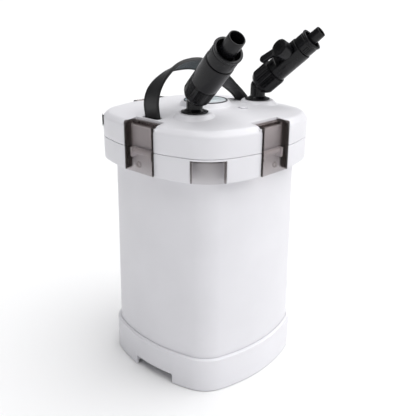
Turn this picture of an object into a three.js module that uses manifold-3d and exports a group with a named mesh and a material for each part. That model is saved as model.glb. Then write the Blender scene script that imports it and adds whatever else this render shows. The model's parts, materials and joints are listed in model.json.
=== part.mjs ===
// Aquarium canister filter: a rounded-square bucket with a clamped pump head, two hose taps on top,
// and the motor, impeller and media baskets inside.
// Units are millimetres, +Z is up, and the origin is on the floor under the middle of the bucket.
import * as THREE from 'three';
import { mergeVertices } from 'three/addons/utils/BufferGeometryUtils.js';
import Module from 'manifold-3d';

const wasm = await Module();
wasm.setup();

// Plan outline of the head: flats that bulge a little, joined by round corners.
const HALF = 117.5;
const SIDE_RADIUS = 221.6;
const CORNER_RADIUS = 53.3;
const SIDE_STEPS = 4;
const CORNER_STEPS = 4;
const ROUND = 16;

// Heights of the shells.
const SKIRT_TOP = 46.7;
const RING_BOTTOM = 282.2;
const SEAM = 311.2;
const SHOULDER = 335.5;
const RIM = 341.8;
const DOME = 350;

// Distance of each foot pad from the middle.
const PAD_RADIAL = 108.5;

// Half widths of the shells, and the gap kept between neighbours.
const SKIRT_HALF = 109.8;
const BUCKET_LOW = 105.2;
const BUCKET_HIGH = 102.2;
const WALL = 3.2;
const GAP = 0.4;

// Clamping clips, one on each side. Each stands a little off the middle of its side, towards the
// corner between +X and -Y or the one opposite.
const SIDES = [
  { turn: 0, shift: -3.4 },
  { turn: 90, shift: 3.4 },
  { turn: 180, shift: -3.4 },
  { turn: 270, shift: 3.4 },
];
const CLIP_WIDTH = 48;
const CLIP_SLOT = CLIP_WIDTH / 2 + 0.6;
const CLIP_FACE = 118.2;
const CLIP_PLATE = 2.6;
const CLIP_CHEEK = 3;
const CHANNEL_FLOOR = 106;
const PIN = { radial: 101.5, z: 339, radius: 1.5 };
const BAR = { radial: 109.4, z: 306.5, radius: 3.6 };

// Pump parts on the middle axis.
const MOTOR = { radius: 38, bottom: 268, top: 312.6 };
const DECK = { half: 102.2, bottom: 313, top: 316 };

// Priming button in a raised boss in the middle of the lid, and the air vent beside it.
const BOSS = { low: 34, high: 29.8, top: 354.3 };
const BUTTON_RADIUS = 26.2;
const BEZEL = { inner: 26.7, outer: 28, bottom: 349.7, top: 355.7 };
const CHAMBER_FLOOR = 336.1;
const VENT = { x: 47, y: 18 };

// Taps: where each one plugs in, which way it points, the radii of its upper parts, and how far along
// its tilted tube the valve sits and each part ends.
const TAP_TILT = THREE.MathUtils.degToRad(48);
const TAP_BEND = 369;
const PORT_RIM = 351.5;
const TAPS = [
  {
    name: 'intake', x: 37, y: -58, heading: -13, leverSide: -1,
    body: 17.3, collar: 16.6, nozzle: 10.1, valveAt: 55, bodyTo: 69, collarTo: 89, nozzleTo: 108.6,
  },
  {
    name: 'outlet', x: 32, y: 66, heading: 17, leverSide: 1,
    body: 15, collar: 14, nozzle: 7.4, valveAt: 60, bodyTo: 76, collarTo: 93, nozzleTo: 107.5,
  },
];
const TAP = {
  nutFrom: 2.8,
  nutTo: 30.8,
  nutRadius: 17.3,
  lipFrom: 6.3,
  lipTo: 9.4,
  bore: 6,
  ballRadius: 9,
  leverLength: 32,
  leverFace: 26.6,
};
const LEVER_TURN = 52;

// Baskets of filter media, bottom to top.
const BASKET_HALF = 96.5;
const BASKET_FLOORS = [16, 88, 160];
const BASKET_HEIGHT = 70;

// The handle strap, its lean at the top of its arch, and the two pockets in the lid that hold its
// ends (low and high y, and the y of the pin that holds the strap).
const HANDLE_POCKETS = [
  { low: -96.2, high: -86.2, pin: -90.3 },
  { low: 70, high: 82.4, pin: 75.5 },
];
const STRAP = { width: 24, thickness: 4.4, lean: 34 };
const HANDLE_PIN = { radius: 1.2, z: 336 };

const white = { color: 0xe9e8ee, roughness: 0.35, metalness: 0 };
const black = { color: 0x1d1d1f, roughness: 0.45, metalness: 0 };
const smoke = { color: 0x8b8380, roughness: 0.25, metalness: 0 };
const grey = { color: 0x6f6f74, roughness: 0.5, metalness: 0 };
const rubber = { color: 0x202020, roughness: 0.85, metalness: 0 };
const steel = { color: 0xb9bcc0, roughness: 0.3, metalness: 1 };
const blue = { color: 0xbfe3f2, roughness: 0.3, metalness: 0 };
const foam = { color: 0x2b3a4a, roughness: 1, metalness: 0 };
const ceramic = { color: 0xe6ddcb, roughness: 0.9, metalness: 0 };

// ---------------------------------------------------------------- solids

// Six times the volume inside a triangle mesh; it is negative where the faces point inwards.
function signedVolume(points, index) {
  const corner = (i) => new THREE.Vector3().fromArray(points, 3 * index[i]);
  let sum = 0;
  for (let i = 0; i < index.length; i += 3) {
    sum += corner(i).dot(corner(i + 1).cross(corner(i + 2)));
  }
  return sum;
}

// A closed geometry as a solid that can be joined and cut, with its faces pointing out.
function solid(geometry) {
  const bare = geometry.clone();
  bare.deleteAttribute('normal');
  bare.deleteAttribute('uv');
  const merged = mergeVertices(bare, 1e-4);
  const index = merged.index.array;
  const kept = [];
  for (let i = 0; i < index.length; i += 3) {
    const [a, b, c] = [index[i], index[i + 1], index[i + 2]];
    if (a !== b && b !== c && c !== a) kept.push(a, b, c);
  }
  const vertProperties = new Float32Array(merged.attributes.position.array);
  if (signedVolume(vertProperties, kept) < 0) kept.reverse();
  return new wasm.Manifold(new wasm.Mesh({ numProp: 3, vertProperties, triVerts: new Uint32Array(kept) }));
}

function geometryOf(body) {
  const mesh = body.getMesh();
  const geometry = new THREE.BufferGeometry();
  geometry.setAttribute('position', new THREE.BufferAttribute(new Float32Array(mesh.vertProperties), 3));
  geometry.setIndex(new THREE.BufferAttribute(new Uint32Array(mesh.triVerts), 1));
  return geometry;
}

function joined(...parts) {
  return parts.map(solid).reduce((all, part) => all.add(part));
}

function cut(body, ...tools) {
  return tools.reduce((left, tool) => left.subtract(solid(tool)), body);
}

const moved = (geometry, x, y, z) => geometry.clone().translate(x, y, z);
const turnedAbout = (geometry, degrees) => geometry.clone().rotateZ(THREE.MathUtils.degToRad(degrees));

// A clip's own piece, drawn on the +X side, put on the side where it belongs.
const onSide = (geometry, { turn, shift }) => turnedAbout(moved(geometry, 0, shift, 0), turn);

// A block between two corners.
function block([x0, y0, z0], [x1, y1, z1]) {
  return moved(new THREE.BoxGeometry(x1 - x0, y1 - y0, z1 - z0), (x0 + x1) / 2, (y0 + y1) / 2, (z0 + z1) / 2);
}

// A round bar standing on z0; the second radius is at its top.
function post(radius, z0, z1, topRadius = radius, sides = ROUND) {
  const bar = new THREE.CylinderGeometry(topRadius, radius, z1 - z0, sides).rotateX(Math.PI / 2);
  return moved(bar, 0, 0, (z0 + z1) / 2);
}

// A round bar of the given length along Y, with its middle at the origin.
function acrossBar(radius, length, sides = 12) {
  return post(radius, -length / 2, length / 2, radius, sides).rotateX(Math.PI / 2);
}

// A profile of [radius, z] points turned about the z axis.
function turned(profile, sides = ROUND) {
  const points = profile.map(([r, z]) => new THREE.Vector2(r, z));
  return new THREE.LatheGeometry(points, sides).rotateX(Math.PI / 2);
}

// A round tube between two heights.
function tube(inner, outer, z0, z1, sides = ROUND) {
  return turned([[inner, z0], [outer, z0], [outer, z1], [inner, z1], [inner, z0]], sides);
}

// A bar through a row of four-cornered sections, closed at both ends.
function lofted(rings) {
  const positions = rings.flat().flatMap((point) => point.toArray());
  const last = 4 * (rings.length - 1);
  const index = [0, 1, 2, 0, 2, 3, last, last + 2, last + 1, last, last + 3, last + 2];
  for (let ring = 0; ring < last; ring += 4) {
    for (let k = 0; k < 4; k++) {
      const a = ring + k;
      const b = ring + ((k + 1) % 4);
      index.push(a, a + 4, b + 4, a, b + 4, b);
    }
  }
  const geometry = new THREE.BufferGeometry();
  geometry.setAttribute('position', new THREE.Float32BufferAttribute(positions, 3));
  geometry.setIndex(index);
  return geometry;
}

// ---------------------------------------------------------------- rounded-square shells

// Plan points of the outline whose flats are `half` from the middle. Small outlines keep the shape of a
// larger one, scaled down.
function outline(half) {
  const least = 80;
  if (half < least) return outline(least).map(([x, y]) => [(x * half) / least, (y * half) / least]);
  const shift = half - HALF;
  const sideCentre = HALF - SIDE_RADIUS;
  const span = SIDE_RADIUS - CORNER_RADIUS;
  const corner = (sideCentre + Math.sqrt(2 * span * span - sideCentre * sideCentre)) / 2;
  const turn = Math.atan2(corner, corner - sideCentre);
  const points = [];
  for (let quarter = 0; quarter < 4; quarter++) {
    const place = (x, y) => {
      const angle = (quarter * Math.PI) / 2;
      points.push([x * Math.cos(angle) - y * Math.sin(angle), x * Math.sin(angle) + y * Math.cos(angle)]);
    };
    for (let i = 0; i < SIDE_STEPS; i++) {
      const a = -turn + (2 * turn * i) / SIDE_STEPS;
      place(sideCentre + (SIDE_RADIUS + shift) * Math.cos(a), (SIDE_RADIUS + shift) * Math.sin(a));
    }
    for (let i = 0; i < CORNER_STEPS; i++) {
      const a = turn + ((Math.PI / 2 - 2 * turn) * i) / CORNER_STEPS;
      place(corner + (CORNER_RADIUS + shift) * Math.cos(a), corner + (CORNER_RADIUS + shift) * Math.sin(a));
    }
  }
  return points;
}

// A shell whose section is a profile of [half width, z] points. The profile starts and ends on the
// middle axis (half width 0), or closes on itself.
function shell(profile) {
  const closed = profile[0][0] > 0;
  const positions = [];
  const rings = profile.map(([half, z]) => {
    const start = positions.length / 3;
    const points = half === 0 ? [[0, 0]] : outline(half);
    points.forEach(([x, y]) => positions.push(x, y, z));
    return { start, count: points.length };
  });
  const index = [];
  const steps = closed ? rings.length : rings.length - 1;
  for (let i = 0; i < steps; i++) {
    const low = rings[i];
    const high = rings[(i + 1) % rings.length];
    const count = Math.max(low.count, high.count);
    for (let k = 0; k < count; k++) {
      const next = (k + 1) % count;
      const [a, b] = low.count === 1 ? [low.start, low.start] : [low.start + k, low.start + next];
      const [c, d] = high.count === 1 ? [high.start, high.start] : [high.start + k, high.start + next];
      if (a !== b) index.push(a, b, d);
      if (c !== d) index.push(a, d, c);
    }
  }
  const geometry = new THREE.BufferGeometry();
  geometry.setAttribute('position', new THREE.Float32BufferAttribute(positions, 3));
  geometry.setIndex(index);
  return geometry;
}

// ---------------------------------------------------------------- bucket side

function bucket() {
  const foot = 8.3;
  const rim = 308;
  return solid(shell([
    [0, foot], [101, foot], [104.8, foot + 4], [BUCKET_LOW, SKIRT_TOP], [BUCKET_HIGH, RING_BOTTOM],
    [BUCKET_HIGH - 0.2, rim], [BUCKET_HIGH - WALL, rim], [BUCKET_HIGH - WALL, RING_BOTTOM],
    [BUCKET_LOW - WALL, SKIRT_TOP], [BUCKET_LOW - WALL - 0.6, foot + 7], [98, foot + 4], [0, foot + 4],
  ]));
}

// The skirt under the bucket, with a low gap in the middle of its two Y sides for fingers.
function skirt() {
  const inside = BUCKET_LOW + GAP;
  const body = solid(shell([
    [SKIRT_HALF, 0.5], [SKIRT_HALF, SKIRT_TOP - 1.4], [SKIRT_HALF - 1.2, SKIRT_TOP], [inside, SKIRT_TOP],
    [inside, 8], [86, 8], [86, 4.6], [inside + 0.5, 4.6], [inside + 0.5, 0.5],
  ]));
  const gapLeft = -24;
  const gapRight = 43;
  const gapHeight = 14;
  return cut(
    body,
    block([gapLeft, -130, -1], [gapRight, -84, gapHeight]),
    block([-gapRight, 84, -1], [-gapLeft, 130, gapHeight]),
  );
}

const footPad = () => solid(post(8, 0, 4.2, 8, 16));

// The ring that the clips pull against: an upside-down channel round the top of the bucket.
function clampRing() {
  const top = SEAM - GAP;
  const inside = BUCKET_HIGH + GAP;
  const innerWall = 105.2;
  let body = solid(shell([
    [HALF - 1.2, RING_BOTTOM], [HALF, RING_BOTTOM + 1.2], [HALF, top], [inside, top], [inside, RING_BOTTOM],
    [innerWall, RING_BOTTOM], [innerWall, top - WALL], [HALF - WALL, top - WALL], [HALF - WALL, RING_BOTTOM],
  ]));
  for (const side of SIDES) {
    body = cut(body, onSide(block([innerWall, -CLIP_SLOT, 270], [140, CLIP_SLOT, 320]), side));
    for (const y of [-17, 17]) {
      const ear = block([innerWall - 1, y - 1.5, 299], [114.4, y + 1.5, top]);
      body = body.add(solid(onSide(ear, side)));
    }
  }
  return cut(body, turnedAbout(block([112, -21, 270], [140, 21, 308.6]), -45));
}

// A smoke-clear panel let into the ring at the corner between +X and -Y.
function cornerWindow() {
  const band = shell([
    [HALF - 0.1, RING_BOTTOM + 0.3], [HALF - 0.1, 308.2],
    [HALF - 2.6, 308.2], [HALF - 2.6, RING_BOTTOM + 0.3],
  ]);
  return solid(band).intersect(solid(turnedAbout(block([105, -20.6, 270], [150, 20.6, 320]), -45)));
}

// The bar that a clip closes over, between two ears of the ring.
const catchBar = () => solid(post(BAR.radius, -15.1, 15.1, BAR.radius, 16).rotateX(Math.PI / 2));

function sealRing() {
  const [half, z, radius] = [100.3, 310.6, 2];
  const profile = [];
  for (let i = 0; i < 8; i++) {
    const a = ((i + 0.5) * Math.PI) / 4;
    profile.push([half + radius * Math.cos(a), z + radius * Math.sin(a)]);
  }
  return solid(shell(profile));
}

function basket(floor) {
  const top = floor + BASKET_HEIGHT;
  const body = solid(shell([
    [0, floor], [BASKET_HALF, floor], [BASKET_HALF, top], [BASKET_HALF - 2.2, top],
    [BASKET_HALF - 2.2, floor + 2.5], [0, floor + 2.5],
  ]));
  const slots = [];
  for (let x = -72; x <= 72; x += 24) {
    slots.push(block([x - 4, -36, floor - 1], [x + 4, 76, floor + 4]));
  }
  return cut(body, moved(post(11.5, floor - 1, floor + 4), TAPS[0].x, TAPS[0].y, 0), ...slots);
}

function media(floor) {
  const half = BASKET_HALF - 3;
  const pack = solid(shell([[0, floor + 3], [half, floor + 3], [half, floor + 62], [0, floor + 62]]));
  return cut(pack, moved(post(12, floor, floor + 70, 12, 16), TAPS[0].x, TAPS[0].y, 0));
}

// The pipe that takes water down through the baskets; its foot is slotted.
function riser() {
  const body = solid(tube(8, 10, 13.5, 232));
  return cut(body, block([-12, -2, 12], [12, 2, 22]), block([-2, -12, 12], [2, 12, 22]));
}

// ---------------------------------------------------------------- pump head

// The lid's outer skin, with a pocket behind each clip, raised port bosses, the priming chamber and
// the two pockets that hold the ends of the handle.
function headCover() {
  let body = solid(shell([
    [0, DOME], [40, 349.2], [70, 347], [95, 344.5], [HALF - 6, RIM], [HALF - 1.8, SHOULDER + 4.2],
    [HALF, SHOULDER], [HALF, SEAM], [HALF - WALL, SEAM], [HALF - WALL, SHOULDER - 1], [HALF - 7.5, 338.6],
    [95, 341.3], [60, 344.6], [0, DOME - WALL],
  ]));
  for (const side of SIDES) {
    const backing = block([102.5, -CLIP_SLOT - 3, SEAM], [115, CLIP_SLOT + 3, 339]);
    const shelf = block([96.8, -CLIP_SLOT - 3, 332.5], [105, CLIP_SLOT + 3, 342.4]);
    body = body.add(solid(onSide(backing, side))).add(solid(onSide(shelf, side)));
  }
  const pocketHalf = STRAP.width / 2 + 0.6;
  const wallHalf = STRAP.width / 2 + 4;
  for (const { low, high } of HANDLE_POCKETS) {
    body = body.add(solid(block([-wallHalf, low - 1.4, 328], [wallHalf, high + 1.4, 343.4])));
  }
  for (const tap of TAPS) {
    body = body.add(solid(moved(post(29, 339.5, PORT_RIM, 19.5), tap.x, tap.y, 0)));
  }
  body = body.add(solid(post(BOSS.low, 347, BOSS.top, BOSS.high, 24)));
  body = body.add(solid(post(30.5, CHAMBER_FLOOR - 4, 350, 30.5, 24)));
  body = body.add(solid(moved(post(7.5, 338, 347), VENT.x, VENT.y, 0)));
  const pinHole = moved(acrossBar(PIN.radius + 0.3, 54.4), PIN.radial, 0, PIN.z);
  for (const side of SIDES) {
    body = cut(
      body,
      onSide(block([CHANNEL_FLOOR, -CLIP_SLOT, 300], [140, CLIP_SLOT, 360]), side),
      onSide(block([98, -CLIP_SLOT, 335.4], [CHANNEL_FLOOR + 1, CLIP_SLOT, 360]), side),
      onSide(pinHole, side),
    );
  }
  for (const pocket of HANDLE_POCKETS) {
    body = cut(
      body,
      block([-pocketHalf, pocket.low, 330.2], [pocketHalf, pocket.high, 360]),
      handlePinBar(HANDLE_PIN.radius + 0.3, STRAP.width / 2 + 3, pocket),
    );
  }
  for (const tap of TAPS) {
    body = cut(body, moved(post(10.2, 320, 360), tap.x, tap.y, 0));
  }
  return cut(
    body,
    block([-pocketHalf, 56, 345.9], [pocketHalf, 71, 360]),
    post(BEZEL.outer + 0.3, BEZEL.bottom - GAP, 360, BEZEL.outer + 0.3, 24),
    post(BUTTON_RADIUS + 0.6, CHAMBER_FLOOR, 352, BUTTON_RADIUS + 0.6, 24),
    post(5, CHAMBER_FLOOR - 10, CHAMBER_FLOOR + 5),
    moved(post(4.2, 330, 360, 4.2, 16), VENT.x, VENT.y, 0),
    moved(post(6, 346, 360, 6, 16), VENT.x, VENT.y, 0),
    post(6.4, -14, 5).applyMatrix4(glandPlace()),
  );
}

// Where the power lead leaves the head: on the round corner at -X, -Y, square to its surface.
function glandPlace() {
  const corner = 55;
  const angle = THREE.MathUtils.degToRad(232.7);
  const matrix = new THREE.Matrix4().makeRotationZ(angle);
  matrix.multiply(new THREE.Matrix4().makeRotationY(Math.PI / 2));
  const x = -corner + CORNER_RADIUS * Math.cos(angle);
  const y = -corner + CORNER_RADIUS * Math.sin(angle);
  return matrix.setPosition(x, y, 330);
}

function cableGland() {
  const profile = [
    [0, -12], [6, -12], [6, 0.4], [7.8, 0.4], [7.8, 0.8], [7.1, 1.2], [3.4, 1.2], [3.4, -6], [0, -6],
  ];
  return solid(turned(profile, 20).applyMatrix4(glandPlace()));
}

// The plate that closes the head from below, with a lip that reaches into the bucket.
function deck() {
  const body = solid(shell([
    [0, DECK.bottom], [95.2, DECK.bottom], [95.2, 303], [97.8, 303], [97.8, DECK.bottom],
    [DECK.half, DECK.bottom], [DECK.half, DECK.top], [0, DECK.top],
  ]));
  return cut(body, ...TAPS.map((tap) => moved(post(10.4, 300, 330), tap.x, tap.y, 0)));
}

function clip() {
  const half = CLIP_WIDTH / 2;
  const foot = RING_BOTTOM + 0.6;
  const top = 342.2;
  const body = joined(
    block([CLIP_FACE - CLIP_PLATE, -half, foot], [CLIP_FACE, half, top]),
    block([PIN.radial, -half, top - CLIP_PLATE], [CLIP_FACE, half, top]),
    block([107, -half, foot + 1], [CLIP_FACE - 1, CLIP_CHEEK - half, top - 1]),
    block([107, half - CLIP_CHEEK, foot + 1], [CLIP_FACE - 1, half, top - 1]),
    moved(acrossBar(3, CLIP_WIDTH, 16), PIN.radial, 0, PIN.z),
  );
  const bevel = new THREE.BoxGeometry(4, CLIP_WIDTH + 2, 4).rotateY(Math.PI / 4);
  const hole = moved(acrossBar(PIN.radius + 0.25, 60, 16), PIN.radial, 0, PIN.z);
  return cut(body, hole, moved(bevel, CLIP_FACE, 0, top));
}

const clipPin = () => solid(moved(acrossBar(PIN.radius, 53.6), PIN.radial, 0, PIN.z));

// The strap handle: a flat band bent into an arch over the lid. It stands upright in its pockets and
// leans over towards the top, where its inner face turns to +X.
function handle() {
  const arch = new THREE.SplineCurve([
    [-92, 331.8], [-93, 345], [-95, 363], [-91, 379.6], [-79.8, 394.4], [-61.5, 406.7], [-41, 411],
    [-19.6, 410.1], [3.6, 402.2], [27.5, 387.6], [47, 372.4], [65, 357.8], [75.4, 346], [78.4, 331.8],
  ].map(([y, z]) => new THREE.Vector2(y, z)));
  const steps = 34;
  const rings = [];
  for (let i = 0; i <= steps; i++) {
    const t = i / steps;
    const point = arch.getPoint(t);
    const along = arch.getTangent(t);
    const free = THREE.MathUtils.clamp((t - 0.1) / 0.8, 0, 1);
    const lean = THREE.MathUtils.degToRad(STRAP.lean) * Math.sin(Math.PI * free) ** 2;
    const sideways = new THREE.Vector3(1, 0, 0);
    const outward = new THREE.Vector3(0, -along.y, along.x);
    const across = sideways.clone().multiplyScalar(Math.cos(lean)).addScaledVector(outward, Math.sin(lean));
    const through = sideways.clone().multiplyScalar(Math.sin(lean)).addScaledVector(outward, -Math.cos(lean));
    const near = new THREE.Vector3(STRAP.width / 2, point.x, point.y);
    const far = near.clone().addScaledVector(across, -STRAP.width);
    rings.push([
      near, far, far.clone().addScaledVector(through, STRAP.thickness),
      near.clone().addScaledVector(through, STRAP.thickness),
    ]);
  }
  return cut(solid(lofted(rings)), ...HANDLE_POCKETS.map((pocket) => (
    handlePinBar(HANDLE_PIN.radius + 0.3, STRAP.width / 2 + 3, pocket)
  )));
}

// A bar along X through one of the handle's pockets.
function handlePinBar(radius, half, pocket) {
  return moved(post(radius, -half, half, radius, 12).rotateY(Math.PI / 2), 0, pocket.pin, HANDLE_PIN.z);
}

const handlePin = (pocket) => solid(handlePinBar(HANDLE_PIN.radius, STRAP.width / 2 + 2.7, pocket));

const bezel = () => solid(turned([
  [BEZEL.inner, BEZEL.bottom], [BEZEL.outer, BEZEL.bottom], [BEZEL.outer, BEZEL.top - 0.5],
  [BEZEL.outer - 0.4, BEZEL.top], [BEZEL.inner + 0.3, BEZEL.top], [BEZEL.inner, BEZEL.top - 0.4],
  [BEZEL.inner, BEZEL.bottom],
], 24));

const button = () => solid(turned([
  [0, 329.1], [4.4, 329.1], [4.4, 348.1], [BUTTON_RADIUS, 348.1], [BUTTON_RADIUS, 354.3],
  [BUTTON_RADIUS - 1.5, 355.5], [14, 356.5], [0, 356.9],
], 24));

class Helix extends THREE.Curve {
  constructor(radius, low, high, turns) {
    super();
    Object.assign(this, { radius, low, high, turns });
  }

  getPoint(t) {
    const angle = 2 * Math.PI * this.turns * t;
    const z = this.low + (this.high - this.low) * t;
    return new THREE.Vector3(this.radius * Math.cos(angle), this.radius * Math.sin(angle), z);
  }
}

// The spring that lifts the priming button.
function primingSpring() {
  const wire = new THREE.Shape();
  wire.absarc(0, 0, 0.8, 0, 2 * Math.PI);
  const path = new Helix(9, CHAMBER_FLOOR + 1.3, CHAMBER_FLOOR + 10.7, 3);
  return solid(new THREE.ExtrudeGeometry(wire, { extrudePath: path, steps: 24, curveSegments: 3 }));
}

function ventScrew() {
  const body = solid(turned([
    [0, 338], [3.8, 338], [3.8, 346.4], [5.6, 346.4], [5.6, 350], [4.8, 350.8], [0, 350.8],
  ], 16));
  return cut(body, block([-7, -0.7, 349.4], [7, 0.7, 352])).translate([VENT.x, VENT.y, 0]);
}

// ---------------------------------------------------------------- pump

const motor = () => solid(turned([
  [0, 300], [13.2, 300], [13.2, MOTOR.bottom], [35, MOTOR.bottom],
  [MOTOR.radius, MOTOR.bottom + 3], [MOTOR.radius, MOTOR.top - 3], [35, MOTOR.top], [0, MOTOR.top],
]));

const shaft = () => solid(post(1.6, 247.2, 299.6, 1.6, 12));

const magnet = () => solid(tube(2, 12.4, 264, 297.5));

function impeller() {
  let body = joined(tube(2, 7, 250.5, 263.6), tube(2, 22, 250.5, 252.2));
  const blade = block([5, -0.9, 251], [22, 0.9, 261]);
  for (let i = 0; i < 6; i++) {
    body = body.add(solid(turnedAbout(blade, i * 60)));
  }
  return body;
}

// The pump cover: an open eye below with a spider for the shaft, and a spout to the outlet pipe.
function volute() {
  const outlet = TAPS[1];
  const heading = THREE.MathUtils.radToDeg(Math.atan2(outlet.y, outlet.x));
  const reach = Math.hypot(outlet.x, outlet.y);
  const spout = (radius, from, to) => (
    turnedAbout(moved(post(radius, from, to).rotateY(Math.PI / 2), 0, 0, 257), heading)
  );
  const body = joined(
    turned([
      [10, 244], [30, 244], [30, 267.6], [27.4, 267.6], [27.4, 246.6], [10, 246.6], [10, 244],
    ]),
    spout(8.5, 28.5, reach - 10.4),
    block([-10.6, -1.5, 244], [10.6, 1.5, 246.6]),
    post(3.6, 244, 249.6, 3.6, 16),
  );
  return cut(body, spout(6.5, 24, reach), post(1.8, 246.9, 252, 1.8, 12));
}

const intakePipe = () => solid(tube(8, 10, 236, 338.8)).translate([TAPS[0].x, TAPS[0].y, 0]);

function outletPipe() {
  const { x, y } = TAPS[1];
  const body = solid(turned([[0, 245], [10, 245], [10, 338.8], [8, 338.8], [8, 247.2], [0, 247.2]]));
  const heading = THREE.MathUtils.radToDeg(Math.atan2(y, x));
  const port = moved(post(6.5, -14, 0).rotateY(Math.PI / 2), 0, 0, 257);
  return cut(body, turnedAbout(port, heading)).translate([x, y, 0]);
}

// ---------------------------------------------------------------- hose taps

// Each tap is drawn with the middle of its bend at the origin and its upper tube along +Z.
// The valve's lever is on the +X side.

const tilted = (geometry) => moved(geometry.clone().rotateY(TAP_TILT), 0, 0, TAP_BEND);

// The elbow keeps the port's own upright frame, because its foot is in the lid.
function elbow() {
  const bend = moved(new THREE.SphereGeometry(9.75, 16, 8).rotateX(Math.PI / 2), 0, 0, TAP_BEND);
  const hollow = moved(new THREE.SphereGeometry(7, 16, 8).rotateX(Math.PI / 2), 0, 0, TAP_BEND);
  const flange = turned([[0, 351.9], [16.4, 351.9], [16.4, 353.2], [13, 354.6], [0, 354.6]]);
  const collar = tilted(post(12, TAP.lipTo + 0.4, TAP.lipTo + 2.8));
  const body = joined(post(9.75, 340, TAP_BEND), flange, bend, tilted(post(9, 0, 34)), collar);
  return cut(body, post(7, 330, TAP_BEND), hollow, tilted(post(7, 0, 40)));
}

// The coupling nut: fluted outside, with a lip that holds it on the elbow's collar and a mouth that
// flares round the bend.
function nut() {
  const flutes = 12;
  const edge = [];
  for (let i = 0; i < flutes * 4; i++) {
    const angle = (2 * Math.PI * i) / (flutes * 4);
    const radius = i % 4 < 2 ? TAP.nutRadius : TAP.nutRadius - 0.8;
    edge.push(new THREE.Vector2(radius * Math.cos(angle), radius * Math.sin(angle)));
  }
  const ribs = new THREE.ExtrudeGeometry(new THREE.Shape(edge), {
    depth: TAP.nutTo - TAP.nutFrom, bevelEnabled: false, steps: 1,
  });
  const envelope = turned([
    [0, TAP.nutFrom], [13.3, TAP.nutFrom], [18, TAP.nutFrom + 5], [18, TAP.nutTo], [0, TAP.nutTo],
  ]);
  const body = solid(moved(ribs, 0, 0, TAP.nutFrom)).intersect(solid(envelope));
  return cut(body, post(9.5, 0, 40), post(12.94, 2, TAP.lipFrom, 9.5), post(13.4, TAP.lipTo, 40));
}

function valveBody({ body: radius, valveAt, bodyTo }) {
  const start = TAP.nutTo + 0.4;
  const body = joined(
    post(13, 13.5, start + 1),
    turned([[0, start], [radius - 0.6, start], [radius, start + 1], [radius, bodyTo], [0, bodyTo]]),
  );
  return cut(
    body,
    post(9.4, 10, 34.8),
    post(TAP.bore, 30, 90),
    moved(new THREE.SphereGeometry(TAP.ballRadius + 0.4, 16, 8).rotateX(Math.PI / 2), 0, 0, valveAt),
    moved(post(4.3, 4, 30, 4.3, 16).rotateY(Math.PI / 2), 0, 0, valveAt),
    block([radius - 3.2, -20, valveAt - 20], [radius + 6, 20, valveAt + 12]),
  );
}

function ball({ valveAt }) {
  const body = solid(new THREE.SphereGeometry(TAP.ballRadius, 16, 8).rotateX(Math.PI / 2));
  return cut(body, post(TAP.bore, -12, 12), block([8, -12, -12], [12, 12, 12])).translate([0, 0, valveAt]);
}

// The lever and its stem; the arm lies back along the tap when the valve is open.
function lever({ body: radius, leverSide, valveAt }) {
  const face = TAP.leverFace;
  const across = (r, from, to, sides = ROUND) => post(r, from, to, r, sides).rotateY(Math.PI / 2);
  const arm = joined(
    block([face - 5.6, -4.8, -TAP.leverLength + 4.8], [face - 0.4, 4.8, 0]),
    moved(across(4.8, face - 5.6, face - 0.4, 16), 0, 0, -TAP.leverLength + 4.8),
  ).rotate([leverSide * -12, 0, 0]);
  const hub = joined(across(3.9, 8.4, radius), across(11.2, radius - 2.8, face));
  return hub.add(arm).translate([0, 0, valveAt]);
}

function hoseCollar({ collar, nozzle, bodyTo, collarTo }) {
  const flange = nozzle + 3.4;
  const foot = bodyTo + GAP;
  return solid(turned([
    [flange, foot], [collar - 0.8, foot], [collar, foot + 1], [collar, collarTo - 2.4],
    [collar + 0.7, collarTo - 1.8], [collar + 0.7, collarTo], [collar - 2.2, collarTo],
    [collar - 2.2, foot + 6.6], [nozzle + 0.6, foot + 6.6], [nozzle + 0.6, foot + 4.2],
    [flange, foot + 4.2], [flange, foot],
  ]));
}

function hoseNozzle({ nozzle, bodyTo, nozzleTo }) {
  const foot = bodyTo + GAP;
  return solid(turned([
    [nozzle - 2, foot], [nozzle + 3, foot], [nozzle + 3, foot + 3.8], [nozzle, foot + 3.8],
    [nozzle, nozzleTo - 10], [nozzle - 0.3, nozzleTo - 1], [nozzle - 0.9, nozzleTo],
    [nozzle - 2, nozzleTo], [nozzle - 2, foot],
  ]));
}

// ---------------------------------------------------------------- assembly

const filter = new THREE.Group();

function add(group, name, body, look) {
  const mesh = new THREE.Mesh(geometryOf(body), new THREE.MeshStandardMaterial(look));
  mesh.name = name;
  group.add(mesh);
  return mesh;
}

add(filter, 'bucket', bucket(), white);
add(filter, 'base_skirt', skirt(), white);
for (const [i, { turn }] of SIDES.entries()) {
  const pad = add(filter, `foot_pad_${i + 1}`, footPad(), rubber);
  const angle = THREE.MathUtils.degToRad(turn + 45);
  pad.position.set(PAD_RADIAL * Math.cos(angle), PAD_RADIAL * Math.sin(angle), 0);
}
add(filter, 'clamp_ring', clampRing(), white);
add(filter, 'corner_window', cornerWindow(), smoke);
BASKET_FLOORS.forEach((floor, i) => {
  add(filter, `basket_${i + 1}`, basket(floor), grey);
  add(filter, ['coarse_foam', 'ceramic_media', 'fine_foam'][i], media(floor), [foam, ceramic, foam][i]);
});
add(filter, 'riser_pipe', riser(), grey).position.set(TAPS[0].x, TAPS[0].y, 0);

add(filter, 'head_cover', headCover(), white);
add(filter, 'seal_ring', sealRing(), rubber);
add(filter, 'pump_deck', deck(), grey);
add(filter, 'cable_gland', cableGland(), black);
add(filter, 'handle', handle(), black);
HANDLE_POCKETS.forEach((pocket, i) => add(filter, `handle_pin_${i + 1}`, handlePin(pocket), steel));
add(filter, 'button_bezel', bezel(), grey);
add(filter, 'priming_button', button(), blue);
add(filter, 'priming_spring', primingSpring(), steel);
add(filter, 'vent_screw', ventScrew(), white);

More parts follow.
